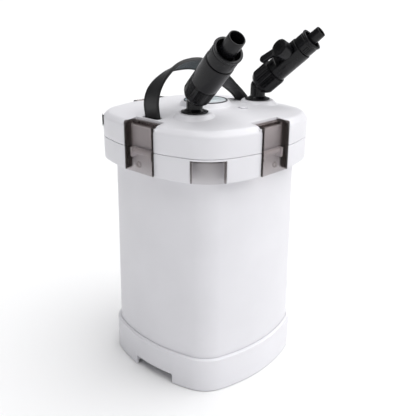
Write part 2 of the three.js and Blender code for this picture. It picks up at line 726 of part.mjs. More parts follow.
add(filter, 'motor_housing', motor(), grey);
add(filter, 'rotor_shaft', shaft(), ceramic);
add(filter, 'rotor_magnet', magnet(), black);
add(filter, 'impeller', impeller(), white);
add(filter, 'volute_cover', volute(), grey);
add(filter, 'intake_pipe', intakePipe(), grey);
add(filter, 'outlet_pipe', outletPipe(), grey);

for (const [i, { turn, shift }] of SIDES.entries()) {
  const side = new THREE.Group();
  side.rotation.z = THREE.MathUtils.degToRad(turn);
  filter.add(side);
  add(side, `clip_${i + 1}`, clip(), smoke).position.y = shift;
  add(side, `clip_pin_${i + 1}`, clipPin(), steel).position.y = shift;
  add(side, `catch_bar_${i + 1}`, catchBar(), white).position.set(BAR.radial, shift, BAR.z);
}

for (const tap of TAPS) {
  const port = new THREE.Group();
  port.position.set(tap.x, tap.y, 0);
  port.rotation.z = THREE.MathUtils.degToRad(tap.heading);
  const bend = new THREE.Group();
  bend.position.z = TAP_BEND;
  bend.rotation.y = TAP_TILT;
  const spin = new THREE.Group();
  spin.rotation.z = Math.PI + tap.leverSide * THREE.MathUtils.degToRad(LEVER_TURN);
  port.add(bend);
  bend.add(spin);
  filter.add(port);
  add(port, `${tap.name}_elbow`, elbow(), black);
  add(spin, `${tap.name}_nut`, nut(), black);
  add(spin, `${tap.name}_valve_body`, valveBody(tap), black);
  add(spin, `${tap.name}_valve_ball`, ball(tap), grey);
  add(spin, `${tap.name}_lever`, lever(tap), black);
  add(spin, `${tap.name}_hose_collar`, hoseCollar(tap), black);
  add(spin, `${tap.name}_nozzle`, hoseNozzle(tap), black);
}

export default filter;
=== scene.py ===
import json
from math import atan2, copysign, cos, degrees, hypot, pi, radians, sin, sqrt, tan
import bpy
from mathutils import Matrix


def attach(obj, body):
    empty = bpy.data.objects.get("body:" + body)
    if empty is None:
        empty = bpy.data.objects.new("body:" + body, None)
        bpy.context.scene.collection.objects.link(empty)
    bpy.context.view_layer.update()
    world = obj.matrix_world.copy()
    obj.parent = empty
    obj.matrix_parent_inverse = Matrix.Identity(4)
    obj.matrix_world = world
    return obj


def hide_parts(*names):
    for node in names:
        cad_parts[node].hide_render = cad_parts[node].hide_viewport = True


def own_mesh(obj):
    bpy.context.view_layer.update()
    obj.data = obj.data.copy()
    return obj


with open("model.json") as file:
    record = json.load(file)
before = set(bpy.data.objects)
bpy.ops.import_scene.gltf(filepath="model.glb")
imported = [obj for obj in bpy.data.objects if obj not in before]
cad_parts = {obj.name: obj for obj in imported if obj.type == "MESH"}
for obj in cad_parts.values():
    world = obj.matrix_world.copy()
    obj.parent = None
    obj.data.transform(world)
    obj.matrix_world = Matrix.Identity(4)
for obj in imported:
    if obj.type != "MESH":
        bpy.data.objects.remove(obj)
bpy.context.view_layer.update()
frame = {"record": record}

from types import SimpleNamespace

import bmesh
import bpy
from mathutils import Matrix, Quaternion, Vector

# The canister filter's looks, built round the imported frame. Sizes are millimetres unless they say
# otherwise; new_object turns them into Blender's metres.
MM = 0.001
BODY_OF = {node: body for body, nodes in frame["record"]["behaviour"]["bodies"].items() for node in nodes}

# Camera, floor, sky and sun. The camera's place is in metres.
CAMERA_LENS = 52.16
CAMERA_PLACE = (0.52972, -0.56155, 0.48957)
CAMERA_AIM = (-0.6405, 0.6869, -0.3436)
CAMERA_ROLL = 0.584
FLOOR_COLOUR = (0.885, 0.885, 0.89)
SKY_COLOUR = (0.98, 0.985, 1)
SKY_FALL = (0.08, 0.17)
SKY_STRENGTH = (1, 0.18)
SUN_STRENGTH = 3.6
SUN_SPREAD = 90
SUN_FROM = (0.28, 0.27, 0.92)

# Plan outline: flats that bulge a little, joined by round corners.
HALF = 117.5
SIDE_RADIUS = 221.6
CORNER_RADIUS = 53.3
SIDE_STEPS = 16
CORNER_STEPS = 14
FILLET_STEPS = 4

# Heights and half widths of the shells, the same as the frame's.
SKIRT_TOP = 46.7
RING_BOTTOM = 282.2
SEAM = 311.2
SHOULDER = 335.5
RIM = 341.8
DOME = 350
SKIRT_HALF = 109.8
BUCKET_LOW = 105.2
BUCKET_HIGH = 102.2
INNER_WALL = 105.2
WALL = 3.2
GAP = 0.4
FOOT_RADIAL = 108.5
WINDOW_TURN = -45
WINDOW_HALF = 20.6

# The turn of each clip's side about the middle, and how far the clip stands off the middle of that side.
SIDES = ((0, -3.4), (90, 3.4), (180, -3.4), (270, 3.4))

# Clips, with the pin that each one turns on.
CLIP_WIDTH = 48
CLIP_FACE = 118.2
CLIP_PLATE = 2.6
CLIP_CHEEK = 3
CHANNEL_FLOOR = 106
PIN_RADIAL = 101.5
PIN_Z = 339
PIN_RADIUS = 1.5
SLOT = CLIP_WIDTH / 2 + 0.6
CATCH_RADIAL = 109.4
CATCH_Z = 306.5

# Button, vent and handle.
BOSS_TOP = 354.3
BUTTON_RADIUS = 26.2
BEZEL_INNER = 26.7
BEZEL_OUTER = 28
BEZEL_BOTTOM = 349.7
BEZEL_TOP = 355.7
CHAMBER_FLOOR = 336.1
VENT = (47, 18)
GLAND_TURN = 232.7
GLAND_Z = 330
STRAP_WIDTH = 24
STRAP_THICKNESS = 4.4
STRAP_LEAN = 34
HANDLE_POCKETS = ((-96.2, -86.2, -90.3), (70, 82.4, 75.5))
HANDLE_PIN_RADIUS = 1.2
HANDLE_PIN_Z = 336
HANDLE_ARCH = (
    (-92, 331.8), (-93, 345), (-95, 363), (-91, 379.6), (-79.8, 394.4), (-61.5, 406.7), (-41, 411),
    (-19.6, 410.1), (3.6, 402.2), (27.5, 387.6), (47, 372.4), (65, 357.8), (75.4, 346), (78.4, 331.8),
)

# Taps: where each plugs in, its heading, and its own sizes.
TAP_TILT = 48
TAP_BEND = 369
PORT_RIM = 351.5
PORT_RADIUS = 10.2
ELBOW_RADIUS = 9.75
ELBOW_BORE = 7
LEVER_TURN = 52
TAPS = (
    SimpleNamespace(name="intake", x=37, y=-58, heading=-13, side=-1, body=17.3, collar=16.6,
                    nozzle=10.1, valve_at=55, body_to=69, collar_to=89, nozzle_to=108.6),
    SimpleNamespace(name="outlet", x=32, y=66, heading=17, side=1, body=15, collar=14,
                    nozzle=7.4, valve_at=60, body_to=76, collar_to=93, nozzle_to=107.5),
)
INTAKE, OUTLET = TAPS
NUT_FROM = 2.8
NUT_TO = 30.8
NUT_RADIUS = 17.3
LIP_FROM = 6.3
LIP_TO = 9.4
BORE = 6
BALL_RADIUS = 9
LEVER_LENGTH = 32
LEVER_FACE = 26.6

# Inside.
DECK_HALF = 102.2
DECK_BOTTOM = 313
DECK_TOP = 316
MOTOR_RADIUS = 38
MOTOR_BOTTOM = 268
MOTOR_TOP = 312.6
IMPELLER_BOTTOM = 250.5
VOLUTE_BOTTOM = 244
SPOUT_Z = 257
SPOUT_BORE = 6.5
PIPE_RADIUS = 10
PIPE_BORE = 8
PIPE_TOP = 338.8
BASKET_HALF = 96.5
BASKET_FLOORS = (16, 88, 160)
BASKET_HEIGHT = 70


# ---- camera, light and floor

def in_scene(name, data):
    obj = bpy.data.objects.new(name, data)
    bpy.context.scene.collection.objects.link(obj)
    return obj


def make_camera():
    camera = in_scene("camera", bpy.data.cameras.new("camera"))
    camera.data.lens = CAMERA_LENS
    camera.data.clip_start = 0.01
    camera.data.clip_end = 200
    camera.location = CAMERA_PLACE
    camera.rotation_mode = "QUATERNION"
    level = Vector(CAMERA_AIM).to_track_quat("-Z", "Y")
    camera.rotation_quaternion = level @ Quaternion((0, 0, 1), radians(CAMERA_ROLL))
    bpy.context.scene.camera = camera


def make_floor():
    bpy.ops.mesh.primitive_plane_add(size=120, location=(0, 0, -0.0002))
    floor = bpy.context.object
    floor.name = "floor"
    look = Look("pale_floor", FLOOR_COLOUR, 0.6)
    look.vary_colour(3, 0.004)
    look.set("Specular IOR Level", 0.1)
    floor.data.materials.append(look.material)


def make_sky():
    """A studio that is white at the horizon and dim overhead."""
    world = bpy.data.worlds.new("studio")
    world.use_nodes = True
    nodes, links = world.node_tree.nodes, world.node_tree.links
    place = nodes.new("ShaderNodeTexCoord")
    split = nodes.new("ShaderNodeSeparateXYZ")
    rise = nodes.new("ShaderNodeMapRange")
    set_range(rise, *SKY_FALL, *SKY_STRENGTH)
    rise.interpolation_type = "SMOOTHSTEP"
    links.new(place.outputs["Generated"], split.inputs["Vector"])
    links.new(split.outputs["Z"], rise.inputs["Value"])
    links.new(rise.outputs["Result"], nodes["Background"].inputs["Strength"])
    nodes["Background"].inputs["Color"].default_value = (*SKY_COLOUR, 1)
    bpy.context.scene.world = world
    bpy.context.scene.view_settings.view_transform = "Standard"


def make_sun():
    sun = in_scene("soft_key", bpy.data.lights.new("soft_key", "SUN"))
    sun.data.energy = SUN_STRENGTH
    sun.data.angle = radians(SUN_SPREAD)
    sun.rotation_mode = "QUATERNION"
    sun.rotation_quaternion = Vector(SUN_FROM).to_track_quat("Z", "Y")


# ---- materials

def set_range(node, start, end, low, high):
    """Makes a Map Range node carry start..end to low..high."""
    for key, value in (("From Min", start), ("From Max", end), ("To Min", low), ("To Max", high)):
        node.inputs[key].default_value = value


class Look:
    """A Principled material whose colour, roughness and surface come from noise in object space."""

    def __init__(self, name, colour, roughness):
        self.material = bpy.data.materials.new(name)
        self.material.use_nodes = True
        self.tree = self.material.node_tree
        self.shader = self.tree.nodes["Principled BSDF"]
        self.colour = colour
        self.roughness = roughness
        self.place = self.node("TexCoord").outputs["Object"]
        self.last_bump = None
        self.set("Base Color", (*colour, 1))
        self.set("Roughness", roughness)

    def node(self, kind):
        return self.tree.nodes.new("ShaderNode" + kind)

    def link(self, out, socket):
        self.tree.links.new(out, socket)

    def set(self, socket, value):
        self.shader.inputs[socket].default_value = value

    def noise(self, scale, detail=2, stretch=(1, 1, 1)):
        mapping = self.node("Mapping")
        mapping.inputs["Scale"].default_value = stretch
        self.link(self.place, mapping.inputs["Vector"])
        noise = self.node("TexNoise")
        noise.inputs["Scale"].default_value = scale
        noise.inputs["Detail"].default_value = detail
        self.link(mapping.outputs["Vector"], noise.inputs["Vector"])
        return noise.outputs["Fac"]

    def cells(self, scale):
        cells = self.node("TexVoronoi")
        cells.inputs["Scale"].default_value = scale
        self.link(self.place, cells.inputs["Vector"])
        return cells.outputs["Distance"]

    def between(self, factor, low, high, start=0.3, end=0.7):
        span = self.node("MapRange")
        set_range(span, start, end, low, high)
        self.link(factor, span.inputs["Value"])
        return span.outputs["Result"]

    def ramp(self, factor, *stops):
        ramp = self.node("ValToRGB")
        elements = ramp.color_ramp.elements
        while len(elements) < len(stops):
            elements.new(0.5)
        for element, (position, colour) in zip(elements, stops):
            element.position = position
            element.color = (*colour, 1)
        self.link(factor, ramp.inputs["Fac"])
        self.link(ramp.outputs["Color"], self.shader.inputs["Base Color"])

    def vary_colour(self, scale, amount):
        dark = tuple(c * (1 - amount) for c in self.colour)
        light = tuple(min(c * (1 + amount), 1) for c in self.colour)
        self.ramp(self.noise(scale, 3), (0.35, dark), (0.65, light))

    def vary_roughness(self, scale, amount):
        low, high = self.roughness - amount, self.roughness + amount
        self.link(self.between(self.noise(scale, 4), low, high), self.shader.inputs["Roughness"])

    def bump(self, height, strength, depth):
        """Adds relief; depth is in millimetres."""
        bump = self.node("Bump")
        bump.inputs["Strength"].default_value = strength
        bump.inputs["Distance"].default_value = depth * MM
        self.link(height, bump.inputs["Height"])
        if self.last_bump:
            self.link(self.last_bump, bump.inputs["Normal"])
        self.last_bump = bump.outputs["Normal"]
        self.link(self.last_bump, self.shader.inputs["Normal"])


def plastic(name, colour, roughness, grain=1600, relief=0.03, patches=0.02, gloss=0.5):
    """Moulded plastic: faint flow patches, uneven gloss, a slow waviness and the mould's fine grain."""
    look = Look(name, colour, roughness)
    look.set("Specular IOR Level", gloss)
    look.vary_colour(14, patches)
    look.vary_roughness(55, 0.05)
    look.bump(look.noise(45, 1), 0.15, 0.15)
    look.bump(look.noise(grain, 3), 0.35, relief)
    return look.material


def clear_smoke(name, haze):
    """Tinted clear plastic that darkens with its thickness. Haze is how much each surface hides."""
    look = Look(name, (0.1, 0.085, 0.08), 0.14)
    look.vary_roughness(90, 0.04)
    look.bump(look.noise(60, 2), 0.1, 0.1)
    look.set("Alpha", haze)
    look.set("IOR", 1.49)
    tint = look.node("VolumeAbsorption")
    tint.inputs["Color"].default_value = (0.5, 0.42, 0.4, 1)
    tint.inputs["Density"].default_value = 160
    out = look.tree.nodes["Material Output"]
    look.link(tint.outputs["Volume"], out.inputs["Volume"])
    return look.material


def rubber(name, colour):
    look = Look(name, colour, 0.78)
    look.vary_colour(60, 0.25)
    look.vary_roughness(120, 0.08)
    look.bump(look.noise(1100, 4), 0.6, 0.05)
    return look.material


def steel(name):
    look = Look(name, (0.62, 0.63, 0.65), 0.28)
    look.set("Metallic", 1)
    look.vary_colour(300, 0.08)
    brushed = look.between(look.noise(900, 2, (1, 1, 0.05)), 0.2, 0.42)
    look.link(brushed, look.shader.inputs["Roughness"])
    look.bump(look.noise(2200, 2, (1, 1, 0.04)), 0.3, 0.01)
    return look.material


def open_foam(name, dark, light, pores):
    """Reticulated foam: cells with pale struts round pores that are darkened with painted shade."""
    look = Look(name, light, 0.95)
    cells = look.cells(pores)
    # The dark colour at the pores is painted shade in the holes between the struts.
    look.ramp(cells, (0.15, dark), (0.5, light))
    look.bump(cells, 1, 1.2)
    look.bump(look.noise(pores * 3, 2), 0.5, 0.3)
    look.set("Sheen Weight", 0.25)
    return look.material


def ceramic(name, colour, roughness, pits):
    look = Look(name, colour, roughness)
    look.vary_colour(110, 0.12)
    look.vary_roughness(200, 0.05)
    look.bump(look.noise(pits, 5), 0.7, 0.12)
    return look.material


def button_blue():
    """Pale blue that fades to white towards +X, where the white is a painted highlight on the side the key
    light comes from.
    """
    look = Look("button_blue", (0.66, 0.86, 0.94), 0.22)
    split = look.node("SeparateXYZ")
    look.link(look.place, split.inputs["Vector"])
    highlight_fade = look.between(split.outputs["X"], 0, 1, -BUTTON_RADIUS * MM, BUTTON_RADIUS * MM)
    # The blue is the button's own colour; the fade to white on the +X side is a painted highlight.
    blue, pale, white = (0.5, 0.79, 0.92), (0.74, 0.9, 0.96), (0.9, 0.95, 0.98)
    look.ramp(highlight_fade, (0.1, blue), (0.55, pale), (0.95, white))
    look.vary_roughness(70, 0.04)
    look.bump(look.noise(50, 1), 0.1, 0.1)
    look.set("Coat Weight", 0.4)
    look.set("Coat Roughness", 0.1)
    return look.material


# ---- mesh helpers

def new_object(name, points, faces):
    """A mesh object from points in millimetres, with its faces pointing out."""
    mesh = bpy.data.meshes.new(name)
    mesh.from_pydata([Vector(point) * MM for point in points], [], faces)
    work = bmesh.new()
    work.from_mesh(mesh)
    bmesh.ops.recalc_face_normals(work, faces=work.faces)
    work.to_mesh(mesh)
    work.free()
    return in_scene(name, mesh)


def outline(half):
    """Plan points of the rounded square whose flats are half from the middle."""
    least = 80
    if half < least:
        return [(x * half / least, y * half / least) for x, y in outline(least)]
    shift_out = half - HALF
    side_centre = HALF - SIDE_RADIUS
    span = SIDE_RADIUS - CORNER_RADIUS
    corner = (side_centre + sqrt(2 * span * span - side_centre * side_centre)) / 2
    sweep = atan2(corner, corner - side_centre)
    arcs = (
        (side_centre, 0, SIDE_RADIUS, -sweep, 2 * sweep, SIDE_STEPS),
        (corner, corner, CORNER_RADIUS, sweep, pi / 2 - 2 * sweep, CORNER_STEPS),
    )
    quarter = []
    for x, y, radius, start, arc, steps in arcs:
        r = radius + shift_out
        for i in range(steps):
            a = start + arc * i / steps
            quarter.append((x + r * cos(a), y + r * sin(a)))
    points = []
    for turns in range(4):
        c, s = cos(turns * pi / 2), sin(turns * pi / 2)
        points.extend((x * c - y * s, x * s + y * c) for x, y in quarter)
    return points


def circle(sides=72, depth=0, pattern=None, beyond=0):
    """A ring maker for round shapes. A pattern of angle (0 to 1) presses in by depth, outside beyond."""
    def ring(radius):
        points = []
        for i in range(sides):
            a = 2 * pi * i / sides
            r = radius
            if pattern and radius > beyond:
                r -= depth * min(radius - beyond, 1) * pattern(i / sides)
            points.append((r * cos(a), r * sin(a)))
        return points
    return ring


def filleted(profile, closed):
    """The profile as plain points, with each corner that has a third number rounded to that radius."""
    line = []
    last = len(profile) - 1
    for i, entry in enumerate(profile):
        here = Vector(entry[:2])
        radius = entry[2] if len(entry) > 2 else 0
        if radius == 0 or (not closed and i in (0, last)):
            line.append(here)
            continue
        back = Vector(profile[i - 1][:2]) - here
        ahead = Vector(profile[(i + 1) % len(profile)][:2]) - here
        reach = min(radius / tan(back.angle(ahead) / 2), 0.49 * back.length, 0.49 * ahead.length)
        start = here + back.normalized() * reach
        end = here + ahead.normalized() * reach
        for k in range(FILLET_STEPS + 1):
            t = k / FILLET_STEPS
            line.append(start * (1 - t) ** 2 + here * (2 * t * (1 - t)) + end * t * t)
    return line


def revolved(name, profile, ring=None):
    """A profile of (radius, z[, fillet]) carried round a ring, and closed unless it meets the axis."""
    ring = ring or circle()
    closed = profile[0][0] > 0
    points = []
    loops = []
    for r, z in filleted(profile, closed):
        loop = ring(r) if r > 0.001 else [(0, 0)]
        loops.append(range(len(points), len(points) + len(loop)))
        points.extend((x, y, z) for x, y in loop)
    pairs = list(zip(loops, loops[1:]))
    if closed:
        pairs.append((loops[-1], loops[0]))
    faces = []
    for low, high in pairs:
        count = max(len(low), len(high))
        for k in range(count):
            n = (k + 1) % count
            corners = (low[k % len(low)], low[n % len(low)], high[n % len(high)], high[k % len(high)])
            face = list(dict.fromkeys(corners))
            if len(face) > 2:
                faces.append(face)
    return new_object(name, points, faces)


def bar(radius, start, end, fillet=0, sides=64):
    """A round bar along z."""
    profile = [(0, start), (radius, start, fillet), (radius, end, fillet), (0, end)]
    return revolved("bar", profile, circle(sides))


def tube(name, inner, outer, low, high, fillets, sides=72):
    """A straight tube. Its fillets go round the section: inner low, outer low, outer high, inner high."""
    corners = ((inner, low), (outer, low), (outer, high), (inner, high))
    return revolved(name, [(*corner, fillet) for corner, fillet in zip(corners, fillets)], circle(sides))


def upright(edge):
    return abs((edge.verts[0].co - edge.verts[1].co).z) > 1e-6


def block(low, high, rounding=0, segments=3, upright_only=False):
    """A block between two corners, with its edges rounded, or only its upright ones."""
    work = bmesh.new()
    bmesh.ops.create_cube(work, size=1)
    low, high = Vector(low) * MM, Vector(high) * MM
    size, middle = high - low, (high + low) / 2
    for vertex in work.verts:
        vertex.co = Vector(a * b for a, b in zip(vertex.co, size)) + middle
    if rounding:
        edges = [edge for edge in work.edges if not upright_only or upright(edge)]
        bmesh.ops.bevel(work, geom=edges, offset=rounding * MM, segments=segments, profile=0.5,
                        affect="EDGES")
    mesh = bpy.data.meshes.new("block")
    work.to_mesh(mesh)
    work.free()
    return in_scene("block", mesh)


def lofted(name, loops):
    """Closed loops of points, each joined to the next, with a face over each end."""
    count = len(loops[0])
    points = [point for loop in loops for point in loop]
    last = len(points) - count
    faces = [list(range(count)), list(range(last, len(points)))]
    for low in range(0, last, count):
        for k in range(count):
            n = (k + 1) % count
            faces.append((low + k, low + n, low + count + n, low + count + k))
    return new_object(name, points, faces)


def extruded(name, profile, low, high):
    """A closed profile of (x, z[, fillet]) pulled along y from low to high."""
    line = filleted(profile, True)
    return lofted(name, [[(x, y, z) for x, z in line] for y in (low, high)])


def swept(name, path, section):
    """A section carried along a path.

    The path holds (place, across, outward), and section(i) gives the points (a, b) at its place i.
    """
    loops = []
    for i, (place, across, outward) in enumerate(path):
        loops.append([place + across * a + outward * b for a, b in section(i)])
    return lofted(name, loops)


def shift(x, y, z):
    return Matrix.Translation((x, y, z))


def turn(angle, axis="Z"):
    return Matrix.Rotation(radians(angle), 4, axis)


def over_port(tap):
    """The place over the middle of a tap's port."""
    return shift(tap.x, tap.y, 0)


def side_place(side):
    """The place of a clip's own pieces, which are drawn on the +X side."""
    angle, along = side
    return turn(angle) @ shift(0, along, 0)


def side_block(side, *sizes):
    return placed(block(*sizes), side_place(side))


def placed(obj, matrix):
    """Moves an object's mesh by a matrix whose shift is in millimetres."""
    moving = matrix.copy()
    moving.translation *= MM
    obj.data.transform(moving)
    return obj


def bake(obj):
    """Makes an object's modifiers part of its mesh."""
    mesh = bpy.data.meshes.new_from_object(obj.evaluated_get(bpy.context.evaluated_depsgraph_get()))
    obj.modifiers.clear()
    obj.data = mesh
    return obj


def combined(obj, operation, tools):
    for tool in tools:
        step = obj.modifiers.new(operation, "BOOLEAN")
        step.operation = operation
        step.solver = "MANIFOLD"
        step.object = tool
    bake(obj)
    for tool in tools:
        bpy.data.objects.remove(tool)
    return obj


def cut(obj, *tools):
    return combined(obj, "DIFFERENCE", tools)


def fused(obj, *tools):
    return combined(obj, "UNION", tools)


def kept_inside(obj, tool):
    return combined(obj, "INTERSECT", [tool])


def softened(obj, width, angle):
    """Rounds the edges that are sharper than an angle."""
    step = obj.modifiers.new("edges", "BEVEL")
    step.width = width * MM
    step.segments = 2
    step.limit_method = "ANGLE"
    step.angle_limit = radians(angle)
    step.use_clamp_overlap = True
    return bake(obj)


def stand_for(node, obj, material, angle=30):
    """Puts a finished piece in the place of a frame node."""
    obj.name = f"{node}_shape"
    obj.data.name = obj.name
    obj.data.materials.clear()
    obj.data.materials.append(material)
    obj.data.shade_smooth()
    obj.data.set_sharp_from_angle(angle=radians(angle))
    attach(obj, BODY_OF[node])
    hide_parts(node)
    return obj


def repainted(obj, material, chosen):
    """Gives a second material to the faces for which chosen(middle, normal) is true."""
    obj.data.materials.append(material)
    for face in obj.data.polygons:
        if chosen(face.center / MM, face.normal):
            face.material_index = 1


# ---- bucket side

def bucket_shape():
    foot = 8.3
    rim = 308
    return revolved("bucket", [
        (0, foot), (101, foot, 3), (104.8, foot + 4, 3), (BUCKET_LOW, SKIRT_TOP),
        (BUCKET_HIGH, RING_BOTTOM), (BUCKET_HIGH - 0.2, rim, 1), (BUCKET_HIGH - WALL, rim, 1),
        (BUCKET_HIGH - WALL, RING_BOTTOM), (BUCKET_LOW - WALL, SKIRT_TOP),
        (BUCKET_LOW - WALL - 0.6, foot + 7, 3), (98, foot + 4, 3), (0, foot + 4),
    ], outline)


def skirt_shape():
    """The plinth: a sloping top edge, a ledge under the bucket, and a finger gap on two sides."""
    inside = BUCKET_LOW + GAP
    body = revolved("skirt", [
        (SKIRT_HALF, 0.5, 0.8), (SKIRT_HALF, SKIRT_TOP - 1, 1.5), (inside, SKIRT_TOP, 0.2),
        (inside, 8, 0.6), (86, 8, 0.6), (86, 4.6, 0.6), (inside + 0.5, 4.6), (inside + 0.5, 0.5, 0.5),
    ], outline)
    gaps = [placed(block((-24, -130, -10), (43, -84, 14), 2.5), turn(angle)) for angle in (0, 180)]
    return softened(cut(body, *gaps), 0.5, 40)


def foot_pad_shape(angle):
    """A round rubber foot with three grooves in its tread."""
    grooves = [(8, 0, 0.6)]
    for radius in (6.4, 4.4, 2.4):
        grooves[:0] = [(radius - 0.4, 0), (radius - 0.3, 0.5), (radius + 0.3, 0.5), (radius + 0.4, 0)]
    pad = revolved("pad", [(0, 0)] + grooves + [(8, 4.2, 0.6), (0, 4.2)], circle(48))
    return placed(pad, turn(angle) @ shift(FOOT_RADIAL, 0, 0))


def ring_shape():
    """The clamp ring: slots for the clips with an ear at each end of a catch bar, and a corner window."""
    top = SEAM - GAP
    inside = BUCKET_HIGH + GAP
    body = revolved("ring", [
        (HALF, RING_BOTTOM, 1.6), (HALF, top, 0.9), (inside, top, 0.3), (inside, RING_BOTTOM, 0.3),
        (INNER_WALL, RING_BOTTOM, 0.3), (INNER_WALL, top - WALL, 1), (HALF - WALL, top - WALL, 1),
        (HALF - WALL, RING_BOTTOM, 0.6),
    ], outline)
    slots = [side_block(side, (INNER_WALL, -SLOT, 270), (140, SLOT, 320)) for side in SIDES]
    window = placed(block((112, -21, 270), (140, 21, 308.6)), turn(WINDOW_TURN))
    cut(body, window, *slots)
    ears = []
    for side in SIDES:
        for y in (-17, 17):
            low, high = (INNER_WALL - 1, y - 1.5, 299), (114.4, y + 1.5, top - 0.2)
            ears.append(side_block(side, low, high, 0.5, 2))
    return softened(fused(body, *ears), 0.5, 40)


def window_shape():
    """A clear panel with a thicker frame along its top and sides."""
    low, high = RING_BOTTOM + 0.3, 308.2
    band = revolved("window", [
        (HALF - 0.1, low, 0.5), (HALF - 0.1, high, 0.5), (HALF - 8, high, 0.4),
        (HALF - 8, high - 2.2, 0.4), (HALF - 1.8, high - 2.6, 0.8), (HALF - 1.1, low, 0.4),
    ], outline)
    opening = block((105, -WINDOW_HALF, 270), (150, WINDOW_HALF, 320))
    kept_inside(band, placed(opening, turn(WINDOW_TURN)))
    frame_sides = []
    for y in (-1, 1):
        low_y, high_y = sorted((y * WINDOW_HALF, y * 18))
        side_bar = block((122, low_y, low), (127.6, high_y, high - 0.2), 0.4, 2)
        frame_sides.append(placed(side_bar, turn(WINDOW_TURN)))
    return softened(fused(band, *frame_sides), 0.35, 40)


def catch_bar_shape(side):
    rod = placed(bar(3.6, -15.1, 15.1, 0.5, sides=40), turn(90, "X"))
    return placed(rod, side_place(side) @ shift(CATCH_RADIAL, 0, CATCH_Z))


def seal_shape():
    """The seal: a round section carried along the outline."""
    half, z, radius = 100.3, 310.6, 2
    profile = []
    for i in range(16):
        a = (i + 0.5) * pi / 8
        profile.append((half + radius * cos(a), z + radius * sin(a)))
    return revolved("seal", profile, outline)


def basket_shape(floor):
    """A media basket: an open tray with a slotted floor, slotted sides and a rolled rim."""
    top = floor + BASKET_HEIGHT
    body = revolved("basket", [
        (0, floor), (BASKET_HALF - 0.8, floor, 2.5), (BASKET_HALF - 0.8, top - 4, 0.5),
        (BASKET_HALF, top - 4, 0.5), (BASKET_HALF, top, 0.8), (BASKET_HALF - 2.2, top, 0.8),
        (BASKET_HALF - 2.2, floor + 2.5, 1.5), (0, floor + 2.5),
    ], outline)
    slots = []
    for x in range(-78, 79, 12):
        if abs(x - INTAKE.x) > 14:
            slots.append(block((x - 3, -72, floor - 1), (x + 3, -6, floor + 4), 1.5, 2, True))
        slots.append(block((x - 3, 6, floor - 1), (x + 3, 72, floor + 4), 1.5, 2, True))
    for y in range(-60, 61, 12):
        slots.append(block((-110, y - 2, floor + 16), (110, y + 2, floor + 52), 1, 2))
    riser_hole = placed(bar(11.5, floor - 1, floor + 4), over_port(INTAKE))
    return cut(body, riser_hole, *slots)


def riser_shape():
    """The pipe down through the baskets, notched at its foot to let the water out."""
    pipe = tube("riser", PIPE_BORE, PIPE_RADIUS, 13.5, 232, (0.6, 0.6, 0.6, 0.6))
    cut(pipe, block((-12, -2, 12), (12, 2, 22), 0.8), block((-2, -12, 12), (2, 12, 22), 0.8))
    return placed(pipe, over_port(INTAKE))


def foam_shape(floor, dents):
    """A cut foam pad: its faces wander a little, and its edges are slightly crushed."""
    half = BASKET_HALF - 3.6
    low, high = floor + 3.6, floor + 61.4
    across, upward = 14, 10
    profile = [(half * i / across, low) for i in range(across)] + [(half, low, 3)]
    profile += [(half, low + (high - low) * i / upward) for i in range(1, upward)] + [(half, high, 3)]
    profile += [(half * i / across, high) for i in reversed(range(across))]
    pad = revolved("foam", profile, outline)
    cut(pad, placed(bar(12, floor, floor + 70), over_port(INTAKE)))
    clouds = bpy.data.textures.new("crumple", "CLOUDS")
    clouds.noise_scale = 0.012
    clouds.noise_depth = 3
    step = pad.modifiers.new("crumple", "DISPLACE")
    step.texture = clouds
    step.texture_coords = "GLOBAL"
    step.strength = dents * MM
    step.mid_level = 1
    return bake(pad)


def has_room(x, y):
    """Whether a ceramic tube fits in the basket at (x, y), clear of its round corners and the riser."""
    reach, corner = 7.5, 55
    past_corner = hypot(max(abs(x) + reach - corner, 0), max(abs(y) + reach - corner, 0))
    inside = past_corner < 29.7 or min(abs(x), abs(y)) + reach < corner
    past_riser = (Vector((x, y)) - Vector((INTAKE.x, INTAKE.y))).length
    return inside and max(abs(x), abs(y)) <= 84.5 and past_riser >= 21


def ceramic_rings_shape(floor):
    """Short ceramic tubes packed in layers, every other one lying down."""
    pitch, layer_height = 14.6, 14.4
    one = tube("media", 3, 6.2, -6.5, 6.5, (0.6, 0.8, 0.8, 0.6), 14)
    work = bmesh.new()
    for layer in range(4):
        z = floor + 3.6 + 7 + layer * layer_height
        for i in range(-6, 7):
            for j in range(-6, 7):
                x, y = i * pitch, j * pitch
                if not has_room(x, y):
                    continue
                spin = turn((i * 47 + j * 83 + layer * 31) % 180)
                tip = turn(90, "X") if (i + j + layer) % 2 else turn((i * 13 + j * 7) % 9 - 4, "X")
                pose = shift(x, y, z) @ spin @ tip
                pose.translation *= MM
                piece = one.data.copy()
                piece.transform(pose)
                work.from_mesh(piece)
                bpy.data.meshes.remove(piece)
    work.to_mesh(one.data)
    work.free()
    return one


# ---- pump head

def head_cover_shape():
    """The lid's shell with its bosses added, then its pockets, ports and button chamber cut out."""
    body = revolved("lid", [
        (0, DOME), (40, 349.2), (70, 347), (95, 344.5), (HALF - 6, RIM, 8), (HALF, SHOULDER, 6),
        (HALF, SEAM, 0.9), (HALF - WALL, SEAM, 0.4), (HALF - WALL, SHOULDER - 1, 3), (HALF - 7.5, 338.6),
        (95, 341.3), (60, 344.6), (0, DOME - WALL),
    ], outline)
    fused(body, *lid_bosses())
    cut(body, *clip_pockets())
    for tool in lid_openings():
        cut(body, tool)
    return softened(body, 0.6, 38)


